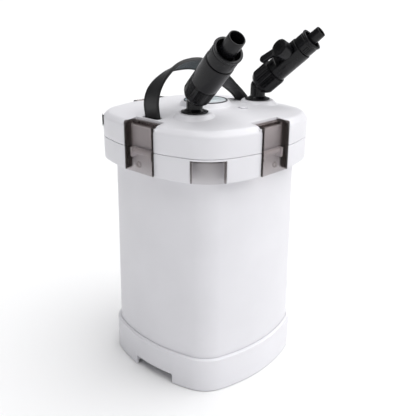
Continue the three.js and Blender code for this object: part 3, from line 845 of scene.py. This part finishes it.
def lid_bosses():
    """What thickens the lid: round the button, vent, clips, handle feet and ports."""
    button_boss = revolved("button_boss", [
        (0, 346.6), (37, 346.6), (33.4, 350, 4), (30.4, BOSS_TOP, 1), (0, BOSS_TOP),
    ], circle(128))
    bosses = [bar(30.5, CHAMBER_FLOOR - 4, 350), button_boss, placed(bar(7.5, 338, 347), shift(*VENT, 0))]
    for side in SIDES:
        bosses.append(side_block(side, (102.5, -SLOT - 3, SEAM), (115, SLOT + 3, 339)))
        bosses.append(side_block(side, (96.8, -SLOT - 3, 332.5), (105, SLOT + 3, 342.4)))
    across = STRAP_WIDTH / 2 + 4
    for low, high, _ in HANDLE_POCKETS:
        bosses.append(block((-across, low - 1.4, 328), (across, high + 1.4, 343.4)))
    for tap in TAPS:
        boss = revolved("boss", [
            (0, 339.5), (31, 339.5), (27, 344.6, 9), (20.4, PORT_RIM, 2.5), (0, PORT_RIM),
        ])
        bosses.append(placed(boss, over_port(tap)))
    return bosses


def clip_pockets():
    tools = []
    for side in SIDES:
        tools.append(side_block(side, (CHANNEL_FLOOR, -SLOT, 300), (140, SLOT, 360)))
        tools.append(side_block(side, (98, -SLOT, 335.4), (CHANNEL_FLOOR + 1, SLOT, 360)))
        tools.append(placed(bar(PIN_RADIUS + 0.3, -27.2, 27.2, sides=24), clip_pin_place(side)))
    return tools


def lid_openings():
    """The handle's pockets and their pin holes, the ports, and the wells of the button, vent and gland."""
    across = STRAP_WIDTH / 2
    tools = []
    for low, high, pin in HANDLE_POCKETS:
        tools.append(oval_hole(across + 3, (high - low) / 2, (low + high) / 2, 330.2, 360))
        tools.append(handle_pin_bar(HANDLE_PIN_RADIUS + 0.3, across + 3, pin))
    tools += [placed(bar(PORT_RADIUS, 320, 360), over_port(tap)) for tap in TAPS]
    tools += [
        block((-across - 0.6, 56, 345.9), (across + 0.6, 73, 360)),
        bar(BEZEL_OUTER + 0.3, BEZEL_BOTTOM - GAP, 360, sides=128),
        bar(BUTTON_RADIUS + 0.6, CHAMBER_FLOOR, 352, sides=128),
        bar(5, CHAMBER_FLOOR - 10, CHAMBER_FLOOR + 5),
        placed(bar(4.2, 330, 360), shift(*VENT, 0)),
        placed(bar(6.2, 346, 360), shift(*VENT, 0)),
        placed(bar(6.4, -14, 5), gland_place()),
    ]
    return tools


def clip_pin_place(side):
    return side_place(side) @ shift(PIN_RADIAL, 0, PIN_Z) @ turn(90, "X")


def handle_pin_bar(radius, half, y, fillet=0):
    return placed(bar(radius, -half, half, fillet, sides=24), shift(0, y, HANDLE_PIN_Z) @ turn(90, "Y"))


def oval_hole(half_length, half_width, y, low, high):
    """A slot with round ends, long across x."""
    sides = 24
    profile = []
    for i in range(sides):
        a = 2 * pi * (i + 0.5) / sides
        end = copysign(half_length - half_width, cos(a))
        profile.append((end + half_width * cos(a), half_width * sin(a)))
    return lofted("oval", [[(x, y + dy, z) for x, dy in profile] for z in (low, high)])


def gland_place():
    """Where the power lead leaves the head, square to the round corner there."""
    corner = 55
    angle = radians(GLAND_TURN)
    x = -corner + CORNER_RADIUS * cos(angle)
    y = -corner + CORNER_RADIUS * sin(angle)
    return shift(x, y, GLAND_Z) @ turn(GLAND_TURN) @ turn(90, "Y")


def gland_shape():
    """The lead's round gland: a fluted rim with a blind hole."""
    flutes = circle(60, 0.35, lambda a: 0.5 - 0.5 * cos(2 * pi * 20 * a), 7)
    profile = [(0, -12), (6, -12, 0.5), (6, 0.4, 0.2), (7.8, 0.4, 0.1), (7.8, 0.8, 0.1), (7.1, 1.2, 0.3),
               (3.4, 1.2, 0.4), (3.4, -6, 0.3), (0, -6)]
    return placed(revolved("gland", profile, flutes), gland_place())


def deck_shape():
    """The plate under the lid: a skirt that fits in the bucket, and ribs out from the motor."""
    body = revolved("deck", [
        (0, DECK_BOTTOM), (95.2, DECK_BOTTOM, 1), (95.2, 303, 0.8), (97.8, 303, 0.8),
        (97.8, DECK_BOTTOM, 0.5), (DECK_HALF, DECK_BOTTOM, 0.5), (DECK_HALF, DECK_TOP, 0.8), (0, DECK_TOP),
    ], outline)
    ribs = []
    for angle in range(0, 360, 45):
        ribs.append(placed(block((44, -1, 306), (94, 1, 313.5), 0.3, 2), turn(angle + 10)))
    fused(body, *ribs)
    holes = [placed(bar(10.4, 300, 330), over_port(tap)) for tap in TAPS]
    return softened(cut(body, *holes), 0.3, 40)


def clip_shape(side, dot):
    """A clip: a folded plate with cheeks, an eye for its pin, a lip and a moulded ring inside.

    The ring stands dot millimetres along from the clip's middle.
    """
    half = CLIP_WIDTH / 2
    foot = RING_BOTTOM + 0.6
    top = 342.2
    inner = CLIP_FACE - CLIP_PLATE
    hinge = shift(PIN_RADIAL, 0, PIN_Z) @ turn(90, "X")
    body = extruded("clip", [
        (inner, foot, 0.5), (CLIP_FACE, foot, 0.8), (CLIP_FACE, top, 3), (PIN_RADIAL, top, 0.2),
        (PIN_RADIAL, top - CLIP_PLATE, 0.2), (inner, top - CLIP_PLATE, 1.2),
    ], -half, half)
    eye = placed(bar(3, -half, half, sides=32), hinge)
    cheek_profile = [
        (107.4, foot + 3, 2), (110, foot + 1, 1), (CLIP_FACE - 1, foot + 1, 0.3),
        (CLIP_FACE - 1, top - 1, 2.4), (107.4, top - 1, 0.3),
    ]
    cheeks = [extruded("cheek", cheek_profile, y, y + CLIP_CHEEK) for y in (-half, half - CLIP_CHEEK)]
    lip_profile = [(inner - 1.6, 311, 0.6), (inner + 0.5, 313.4), (inner + 0.5, 309.6)]
    lip = extruded("lip", lip_profile, 6 - half, half - 6)
    stud = tube("stud", 2.4, 3.9, 0, 3.2, (0.3, 0.4, 0, 0), 40)
    placed(stud, shift(inner - 3, dot, 291.5) @ turn(90, "Y"))
    fused(body, eye, *cheeks)
    fused(body, lip, stud)
    cut(body, placed(bar(PIN_RADIUS + 0.25, -30, 30, sides=24), hinge))
    return placed(softened(body, 0.4, 38), side_place(side))


def spline(points, count):
    """Points along a smooth curve through the given ones, with the curve's direction at each."""
    line = []
    last = len(points) - 1
    for k in range(count + 1):
        along = last * k / count
        i = min(int(along), last - 1)
        t = along - i
        p = [Vector(points[min(max(i + j, 0), last)]) for j in (-1, 0, 1, 2)]
        out, back = (p[2] - p[0]) / 2, (p[3] - p[1]) / 2
        a = 2 * p[1] - 2 * p[2] + out + back
        b = -3 * p[1] + 3 * p[2] - 2 * out - back
        place = a * t**3 + b * t**2 + out * t + p[1]
        line.append((place, (3 * a * t**2 + 2 * b * t + out).normalized()))
    return line


def handle_shape():
    """The strap: raised beads along its edges, and fine cross ribs on its inner face."""
    steps = 190
    half, deep = STRAP_WIDTH / 2, STRAP_THICKNESS
    sideways = Vector((1, 0, 0))
    path = []
    for i, ((y, z), along) in enumerate(spline(HANDLE_ARCH, steps)):
        free = min(max((i / steps - 0.1) / 0.8, 0), 1)
        lean = radians(STRAP_LEAN) * sin(pi * free) ** 2
        outward = Vector((0, -along[1], along[0]))
        across = sideways * cos(lean) + outward * sin(lean)
        through = sideways * sin(lean) - outward * cos(lean)
        near = Vector((half, y, z))
        path.append((near - across * half, across, through))
    bead = 2.2

    def section(i):
        inside_steps = 8 < i < steps - 8
        rib = 0.45 if inside_steps and i % 2 else 0
        sunk = 0.6 if inside_steps else 0
        top = [(-half + 0.1, 0.7), (-half + 0.7, 0.1), (-half + bead, 0), (-half + bead + 0.6, sunk)]
        under = [(half - bead - 0.6, deep - sunk - rib), (half - bead, deep), (half - 0.7, deep - 0.1),
                 (half - 0.1, deep - 0.7)]
        outer = top + [(-a, b) for a, b in reversed(top)]
        inner = list(reversed(under)) + [(-a, b) for a, b in under]
        return outer + inner

    strap = swept("strap", path, section)
    holes = [handle_pin_bar(HANDLE_PIN_RADIUS + 0.3, half + 3, pin) for _, _, pin in HANDLE_POCKETS]
    return cut(strap, *holes)


def button_shape():
    """The priming button: a stem, a broad cap and a fine groove round its top."""
    rim = BUTTON_RADIUS
    return revolved("button", [
        (0, 329.1), (4.4, 329.1, 0.6), (4.4, 348.1, 0.4), (rim, 348.1, 0.4), (rim, 355.2, 1.6),
        (rim - 2.5, 355.6), (19, 356, 1), (18.2, 355.6, 0.5), (17.4, 356.1, 1), (12, 356.5), (6, 356.8),
        (0, 356.9),
    ], circle(128))


def spring_shape():
    """The button's return spring: three turns of round wire."""
    radius, wire, turns, steps = 9, 0.8, 3, 108
    low, high = CHAMBER_FLOOR + 1.3, CHAMBER_FLOOR + 10.7
    path = []
    for i in range(steps + 1):
        a = 2 * pi * turns * i / steps
        outward = Vector((cos(a), sin(a), 0))
        place = outward * radius + Vector((0, 0, low + (high - low) * i / steps))
        path.append((place, Vector((0, 0, 1)), outward))
    ring = [(wire * cos(k * pi / 5), wire * sin(k * pi / 5)) for k in range(10)]
    return swept("spring", path, lambda i: ring)


def vent_shape():
    """The vent screw: a knurled head with a coin slot."""
    knurl = circle(72, 0.3, lambda a: 0.5 - 0.5 * cos(2 * pi * 24 * a), 5)
    body = revolved("vent", [
        (0, 338), (3.8, 338, 0.5), (3.8, 346.4, 0.2), (5.6, 346.4, 0.3), (5.6, 349.6, 1), (3.8, 350.5, 1),
        (0, 350.8),
    ], knurl)
    cut(body, block((-7, -0.7, 349.2), (7, 0.7, 352)))
    return placed(softened(body, 0.15, 50), shift(*VENT, 0))


# ---- pump

def motor_shape():
    """The potted motor: a ribbed can with the rotor's well in its underside."""
    ribs = circle(144, 0.8, lambda a: 1 if (a * 24) % 1 < 0.4 else 0, MOTOR_RADIUS - 0.9)
    return revolved("motor", [
        (0, 300), (13.2, 300, 0.4), (13.2, MOTOR_BOTTOM, 0.6), (MOTOR_RADIUS - 1, MOTOR_BOTTOM, 2),
        (MOTOR_RADIUS - 1, MOTOR_BOTTOM + 6, 0.4), (MOTOR_RADIUS, MOTOR_BOTTOM + 6, 0.4),
        (MOTOR_RADIUS, MOTOR_TOP - 3, 0.6), (35, MOTOR_TOP, 0.8), (0, MOTOR_TOP),
    ], ribs)


def impeller_shape():
    """Six blades swept back from a hub on a thin disc."""
    hub = tube("impeller", 2, 7, IMPELLER_BOTTOM, 263.6, (0.2, 0.4, 0.8, 0.4))
    disc = tube("disc", 2, 22, IMPELLER_BOTTOM, 252.2, (0.2, 0.5, 0.5, 0.2))
    fused(hub, disc)
    blades, steps = 6, 12
    for i in range(blades):
        path = []
        for k in range(steps + 1):
            r = 5.2 + 16.4 * k / steps
            a = radians(38) * (k / steps) ** 1.3
            place = Vector((r * cos(a), r * sin(a), 251.2))
            path.append((place, Vector((-sin(a), cos(a), 0)), Vector((0, 0, 1))))
        blade = swept("blade", path, lambda k: [(-0.8, 0), (0.8, 0), (0.6, 9.5), (-0.6, 9.5)])
        fused(hub, placed(blade, turn(60 * i)))
    return softened(hub, 0.15, 45)


def spout_bar(radius, start, end):
    """A bar along the spout, which runs from the pump's axis to the outlet pipe."""
    heading = degrees(atan2(OUTLET.y, OUTLET.x))
    return placed(bar(radius, start, end, sides=48), turn(heading) @ shift(0, 0, SPOUT_Z) @ turn(90, "Y"))


def volute_shape():
    """The cover under the impeller: an eye with two crossed arms that hold the shaft, and a spout."""
    reach = hypot(OUTLET.x, OUTLET.y)
    low, high, plate = VOLUTE_BOTTOM, 267.6, 246.6
    body = revolved("volute", [
        (10, low, 0.8), (30, low, 2), (30, high, 0.6), (27.4, high, 0.6), (27.4, plate, 1.5),
        (10, plate, 0.8),
    ], circle(96))
    fused(body, spout_bar(8.5, 28.5, reach - 10.4))
    for angle in (0, 90):
        fused(body, placed(block((-10.6, -1.5, low), (10.6, 1.5, plate), 0.4, 2), turn(angle)))
    fused(body, bar(3.6, low, 249.6, 0.5, sides=32))
    cut(body, spout_bar(SPOUT_BORE, 24, reach))
    return cut(body, bar(1.8, 246.9, 252, sides=24))


def outlet_pipe_shape():
    """The outlet pipe: closed at its foot, with a side hole where the spout meets it."""
    low, floor = 245, 247.2
    pipe = revolved("pipe", [
        (0, low), (PIPE_RADIUS, low, 1.5), (PIPE_RADIUS, PIPE_TOP, 0.5), (PIPE_BORE, PIPE_TOP, 0.5),
        (PIPE_BORE, floor, 1), (0, floor),
    ])
    cut(pipe, spout_bar(SPOUT_BORE, -14, 0))
    return placed(pipe, over_port(OUTLET))


# ---- hose taps

def port_place(tap):
    return over_port(tap) @ turn(tap.heading)


def tap_place(tap):
    """The tap's own frame: the bend is its origin, and its upper tube runs along z."""
    upper_tube = port_place(tap) @ shift(0, 0, TAP_BEND) @ turn(TAP_TILT, "Y")
    return upper_tube @ turn(180 + tap.side * LEVER_TURN)


def elbow_shape(tap):
    """The elbow: a bent pipe with a flange on the port and a collar that its nut pulls on."""
    tilt = shift(0, 0, TAP_BEND) @ turn(TAP_TILT, "Y")
    body = bar(ELBOW_RADIUS, 340, TAP_BEND, 0.6)
    flange = revolved("flange", [
        (0, 351.9), (16.4, 351.9, 0.5), (16.4, 353.4, 0.8), (13, 354.2, 2), (9, 356.6), (0, 356.6),
    ], circle(96))
    fused(body, flange)
    fused(body, sphere(ELBOW_RADIUS, TAP_BEND))
    fused(body, placed(bar(9.2, 0, 34, 0.8), tilt))
    fused(body, placed(bar(12, LIP_TO + 0.4, LIP_TO + 2.8, 0.5), tilt))
    cut(body, bar(ELBOW_BORE, 330, TAP_BEND))
    cut(body, sphere(ELBOW_BORE, TAP_BEND))
    cut(body, placed(bar(ELBOW_BORE, 0, 40), tilt))
    return placed(softened(body, 0.5, 40), port_place(tap))


def nut_shape(tap):
    """The coupling nut: groups of grip ribs round it, and a rounded lower end."""
    def grips(a):
        group = (a * 8) % 1
        return 0.5 - 0.5 * cos(2 * pi * group * 8) if group < 0.625 else 0

    rim = NUT_RADIUS - 0.5
    body = revolved("nut", [
        (9.5, LIP_FROM, 0.3), (12.3, NUT_FROM, 0.3), (13.3, NUT_FROM, 0.6), (15, NUT_FROM + 1.8, 1.5),
        (NUT_RADIUS, NUT_FROM + 6, 4), (NUT_RADIUS, NUT_TO - 1.8, 0.3), (rim, NUT_TO - 1.6, 0.2),
        (rim, NUT_TO, 0.5), (13.4, NUT_TO, 0.5), (13.4, LIP_TO, 0.4), (9.5, LIP_TO, 0.4),
    ], circle(288, 0.9, grips, 15.6))
    return placed(body, tap_place(tap))


def valve_body_shape(tap):
    """The valve's barrel: a flat for the lever, and a bent bayonet slot by the nut."""
    radius, start, top, valve = tap.body, NUT_TO + 0.4, tap.body_to, tap.valve_at
    body = revolved("barrel", [
        (0, start), (radius - 0.2, start, 0.5), (radius, start + 2, 0.5), (radius, top, 0.9), (0, top),
    ], circle(96))
    fused(body, bar(13, 13.5, start + 1, 0.5))
    slot, foot = radius - 0.9, start + 3.5
    to_slot = turn(tap.side * 75)
    tools = [
        bar(9.4, 10, 34.8), bar(BORE, 30, 90), sphere(BALL_RADIUS + 0.4, valve),
        placed(bar(4.3, 4, 30, sides=32), shift(0, 0, valve) @ turn(90, "Y")),
        block((radius - 3.2, -20, valve - 20), (radius + 6, 20, valve + 12), 1.5),
        placed(block((slot, -1, foot), (radius + 2, 1, start + 9), 0.3), to_slot),
        placed(block((slot, -1, foot), (radius + 2, 5.4, start + 5.3), 0.3), to_slot),
    ]
    for tool in tools:
        cut(body, tool)
    return placed(softened(body, 0.4, 40), tap_place(tap))


def sphere(radius, z):
    arc = []
    for i in range(25):
        a = i * pi / 24
        arc.append((radius * sin(a), z - radius * cos(a)))
    return revolved("ball", arc, circle(64))


def valve_ball_shape(tap):
    """The ball: bored for the water, with a flat where the lever's stem drives it."""
    valve = tap.valve_at
    body = sphere(BALL_RADIUS, valve)
    cut(body, bar(BORE, valve - 20, valve + 20), block((8, -12, valve - 12), (12, 12, valve + 12)))
    return placed(softened(body, 0.4, 40), tap_place(tap))


def lever_shape(tap):
    """The lever: a round hub with three slots in its face, and an arm lying back along the tap."""
    face = LEVER_FACE
    inner = tap.body - 2.8
    hub = revolved("hub", [
        (0, inner), (11.2, inner, 0.8), (11.2, face, 1.4), (9.4, face, 0.3), (9.2, face - 0.4, 0.3),
        (0, face - 0.4),
    ], circle(96))
    placed(hub, turn(90, "Y"))
    fused(hub, placed(bar(3.9, 8.4, inner + 1, 0.4, sides=48), turn(90, "Y")))
    tip = -LEVER_LENGTH + 4.8
    arm = block((face - 5.6, -4.8, tip), (face - 0.6, 4.8, 0), 1.2)
    fused(arm, placed(bar(4.8, face - 5.6, face - 0.6, 1.2, sides=48), shift(0, 0, tip) @ turn(90, "Y")))
    fused(hub, placed(arm, turn(tap.side * -12, "X")))
    slots = []
    for offset in (-3.4, 0, 3.4):
        reach = 4.6 - abs(offset) / 4
        slot = block((face - 1.8, offset - 0.7, -reach), (face + 1, offset + 0.7, reach), 0.5, 2)
        slots.append(placed(slot, turn(tap.side * 25, "X")))
    cut(hub, *slots)
    return placed(softened(hub, 0.3, 40), tap_place(tap) @ shift(0, 0, tap.valve_at))


def collar_shape(tap):
    """The hose collar: a groove and a raised rim by its mouth, and two small ribbed windows."""
    collar, nozzle, top = tap.collar, tap.nozzle, tap.collar_to
    foot = tap.body_to + GAP
    flange = nozzle + 3.4
    body = revolved("collar", [
        (flange, foot, 0.3), (collar - 0.4, foot, 0.5), (collar, foot + 1.2, 0.5),
        (collar, top - 5.4, 0.3), (collar - 0.35, top - 5.1, 0.2), (collar - 0.35, top - 4.3, 0.2),
        (collar, top - 4, 0.3), (collar, top - 2.6, 0.5), (collar + 0.7, top - 1.8, 0.4),
        (collar + 0.7, top, 0.6), (collar - 2.2, top, 0.6), (collar - 2.2, foot + 6.6, 0.5),
        (nozzle + 0.6, foot + 6.6, 0.3), (nozzle + 0.6, foot + 4.2, 0.3), (flange, foot + 4.2, 0.3),
    ], circle(96))
    for angle in (75, 255):
        to_window = turn(angle * tap.side)
        window = block((collar - 0.9, -4, foot + 2), (collar + 3, 4, foot + 10), 0.6, 2)
        cut(body, placed(window, to_window))
        for y in (-2.4, 0, 2.4):
            low, high = (collar - 1.6, y - 0.45, foot + 1.5), (collar - 0.1, y + 0.45, foot + 10.5)
            fused(body, placed(block(low, high, 0.2, 2), to_window))
    return placed(softened(body, 0.3, 45), tap_place(tap))


def nozzle_shape(tap):
    """The hose nozzle: a flange held by the collar, a tube that narrows at its tip, and rings inside."""
    r, top = tap.nozzle, tap.nozzle_to
    foot = tap.body_to + GAP
    bore = r - 2
    rings = []
    z = top - 4
    while z > foot + 7:
        rings += [(bore, z, 0.2), (bore - 0.3, z - 0.8, 0.2), (bore, z - 1.6, 0.2)]
        z -= 3
    outside = [
        (bore, foot, 0.3), (r + 3, foot, 0.4), (r + 3, foot + 3.8, 0.4), (r, foot + 3.8, 0.8),
        (r, top - 12), (r - 0.1, top - 8), (r - 0.25, top - 3), (r - 0.4, top, 0.7),
        (bore + 0.2, top, 0.5), (bore, top - 2.6),
    ]
    body = revolved("nozzle", outside + rings, circle(80))
    return placed(body, tap_place(tap))


# ---- assembly

# The materials that more than one piece shares.
WHITE = plastic("white_shell", (0.77, 0.765, 0.797), 0.36)
BLACK = plastic("black_plastic", (0.005, 0.005, 0.006), 0.25, 1300, 0.04, 0.15, 0.27)
STRAP = plastic("strap_plastic", (0.012, 0.012, 0.013), 0.4, 900, 0.06, 0.2, 0.35)
# A lighter grey for the strap's inner face: a painted sheen for the light that this shiny face catches.
STRAP_SHEEN = plastic("strap_grip", (0.05, 0.05, 0.053), 0.38, 900, 0.06, 0.2, 0.5)
GREY = plastic("grey_plastic", (0.16, 0.16, 0.175), 0.5, 1300, 0.04, 0.1)
BEZEL = plastic("bezel_grey", (0.1, 0.1, 0.11), 0.4, 1300, 0.03, 0.1)
IMPELLER = plastic("impeller_plastic", (0.6, 0.6, 0.57), 0.45, 1500, 0.03, 0.05)
SMOKE = clear_smoke("smoke_clear", 0.07)
# A hazier copy of the clear smoke: painted shade for the darker look of the plastic's edges and frames.
SMOKE_EDGE_SHADE = clear_smoke("smoke_edge", 0.34)
RUBBER = rubber("rubber", (0.022, 0.022, 0.023))
STEEL = steel("steel")


def make_container():
    stand_for("bucket", bucket_shape(), WHITE)
    stand_for("base_skirt", skirt_shape(), WHITE)
    stand_for("clamp_ring", ring_shape(), WHITE)
    # The window's top band and side frames get the hazier smoke, painted edge shade.
    lateral = Vector((1, 1, 0)).normalized()
    repainted(stand_for("corner_window", window_shape(), SMOKE), SMOKE_EDGE_SHADE,
              lambda middle, _: middle.z > 306.4 or abs(middle.dot(lateral)) > 18.6)
    stand_for("seal_ring", seal_shape(), RUBBER)
    stand_for("riser_pipe", riser_shape(), GREY)
    for i, floor in enumerate(BASKET_FLOORS):
        stand_for(f"basket_{i + 1}", basket_shape(floor), GREY)


def make_media():
    low, middle, high = BASKET_FLOORS
    # Each foam's first colour is the painted shade in its pores, and its second colour is its struts.
    coarse = open_foam("coarse_foam", (0.004, 0.008, 0.016), (0.05, 0.09, 0.16), 330)
    fine = open_foam("fine_foam", (0.35, 0.36, 0.34), (0.8, 0.8, 0.76), 900)
    stand_for("coarse_foam", foam_shape(low, 1.6), coarse, 180)
    stand_for("fine_foam", foam_shape(high, 0.9), fine, 180)
    stand_for("ceramic_media", ceramic_rings_shape(middle),
              ceramic("ceramic_media", (0.7, 0.64, 0.53), 0.9, 900))


def make_head():
    stand_for("head_cover", head_cover_shape(), WHITE)
    stand_for("pump_deck", deck_shape(), GREY)
    stand_for("cable_gland", gland_shape(), BLACK)
    # The faces turned towards a point under the arch get the lighter grey, a painted sheen.
    under_arch = Vector((0, -12, 330))
    repainted(stand_for("handle", handle_shape(), STRAP), STRAP_SHEEN,
              lambda middle, normal: (under_arch - middle).normalized().dot(normal) > 0.5)
    bezel = tube("bezel", BEZEL_INNER, BEZEL_OUTER, BEZEL_BOTTOM, BEZEL_TOP, (0, 0, 0.6, 0.4), 128)
    stand_for("button_bezel", bezel, BEZEL)
    stand_for("priming_button", button_shape(), button_blue())
    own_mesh(stand_for("priming_spring", spring_shape(), STEEL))
    stand_for("vent_screw", vent_shape(), WHITE)


def make_pump():
    stand_for("motor_housing", motor_shape(), GREY)
    stand_for("rotor_shaft", bar(1.6, 247.2, 299.6, 0.3, sides=32),
              ceramic("shaft_ceramic", (0.75, 0.74, 0.7), 0.25, 2500))
    stand_for("rotor_magnet", tube("magnet", 2, 12.4, 264, 297.5, (0.3, 0.8, 0.8, 0.3), 96),
              ceramic("ferrite", (0.035, 0.035, 0.04), 0.45, 1800))
    stand_for("impeller", impeller_shape(), IMPELLER)
    stand_for("volute_cover", volute_shape(), GREY)
    intake_pipe = tube("pipe", PIPE_BORE, PIPE_RADIUS, 236, PIPE_TOP, (0.6, 0.6, 0.5, 0.5))
    stand_for("intake_pipe", placed(intake_pipe, over_port(INTAKE)), GREY)
    stand_for("outlet_pipe", outlet_pipe_shape(), GREY)


def make_side_pieces():
    """Each side's foot, clip, clip pin and catch bar, and then the handle's two pins."""
    for i, side in enumerate(SIDES):
        stand_for(f"foot_pad_{i + 1}", foot_pad_shape(side[0] + 45), RUBBER)
        plate = stand_for(f"clip_{i + 1}", clip_shape(side, -4 if side[0] == 270 else 4), SMOKE)
        # Faces near the clip's two side edges get the hazier smoke, painted edge shade.
        along = turn(side[0]) @ Vector((0, 1, 0))
        repainted(plate, SMOKE_EDGE_SHADE,
                  lambda middle, _: abs(middle.dot(along) - side[1]) > CLIP_WIDTH / 2 - 0.5)
        pin = placed(bar(PIN_RADIUS, -26.8, 26.8, 0.4, sides=24), clip_pin_place(side))
        stand_for(f"clip_pin_{i + 1}", pin, STEEL)
        stand_for(f"catch_bar_{i + 1}", catch_bar_shape(side), WHITE)
    for i, (_, _, y) in enumerate(HANDLE_POCKETS):
        pin = handle_pin_bar(HANDLE_PIN_RADIUS, STRAP_WIDTH / 2 + 2.7, y, 0.3)
        stand_for(f"handle_pin_{i + 1}", pin, STEEL)


def make_taps():
    pieces = (
        ("elbow", elbow_shape, BLACK), ("nut", nut_shape, BLACK),
        ("valve_body", valve_body_shape, BLACK), ("valve_ball", valve_ball_shape, GREY),
        ("lever", lever_shape, BLACK), ("hose_collar", collar_shape, BLACK),
        ("nozzle", nozzle_shape, BLACK),
    )
    for tap in TAPS:
        for piece, shape, material in pieces:
            stand_for(f"{tap.name}_{piece}", shape(tap), material)


make_camera()
make_floor()
make_sky()
make_sun()
make_container()
make_media()
make_head()
make_pump()
make_side_pieces()
make_taps()
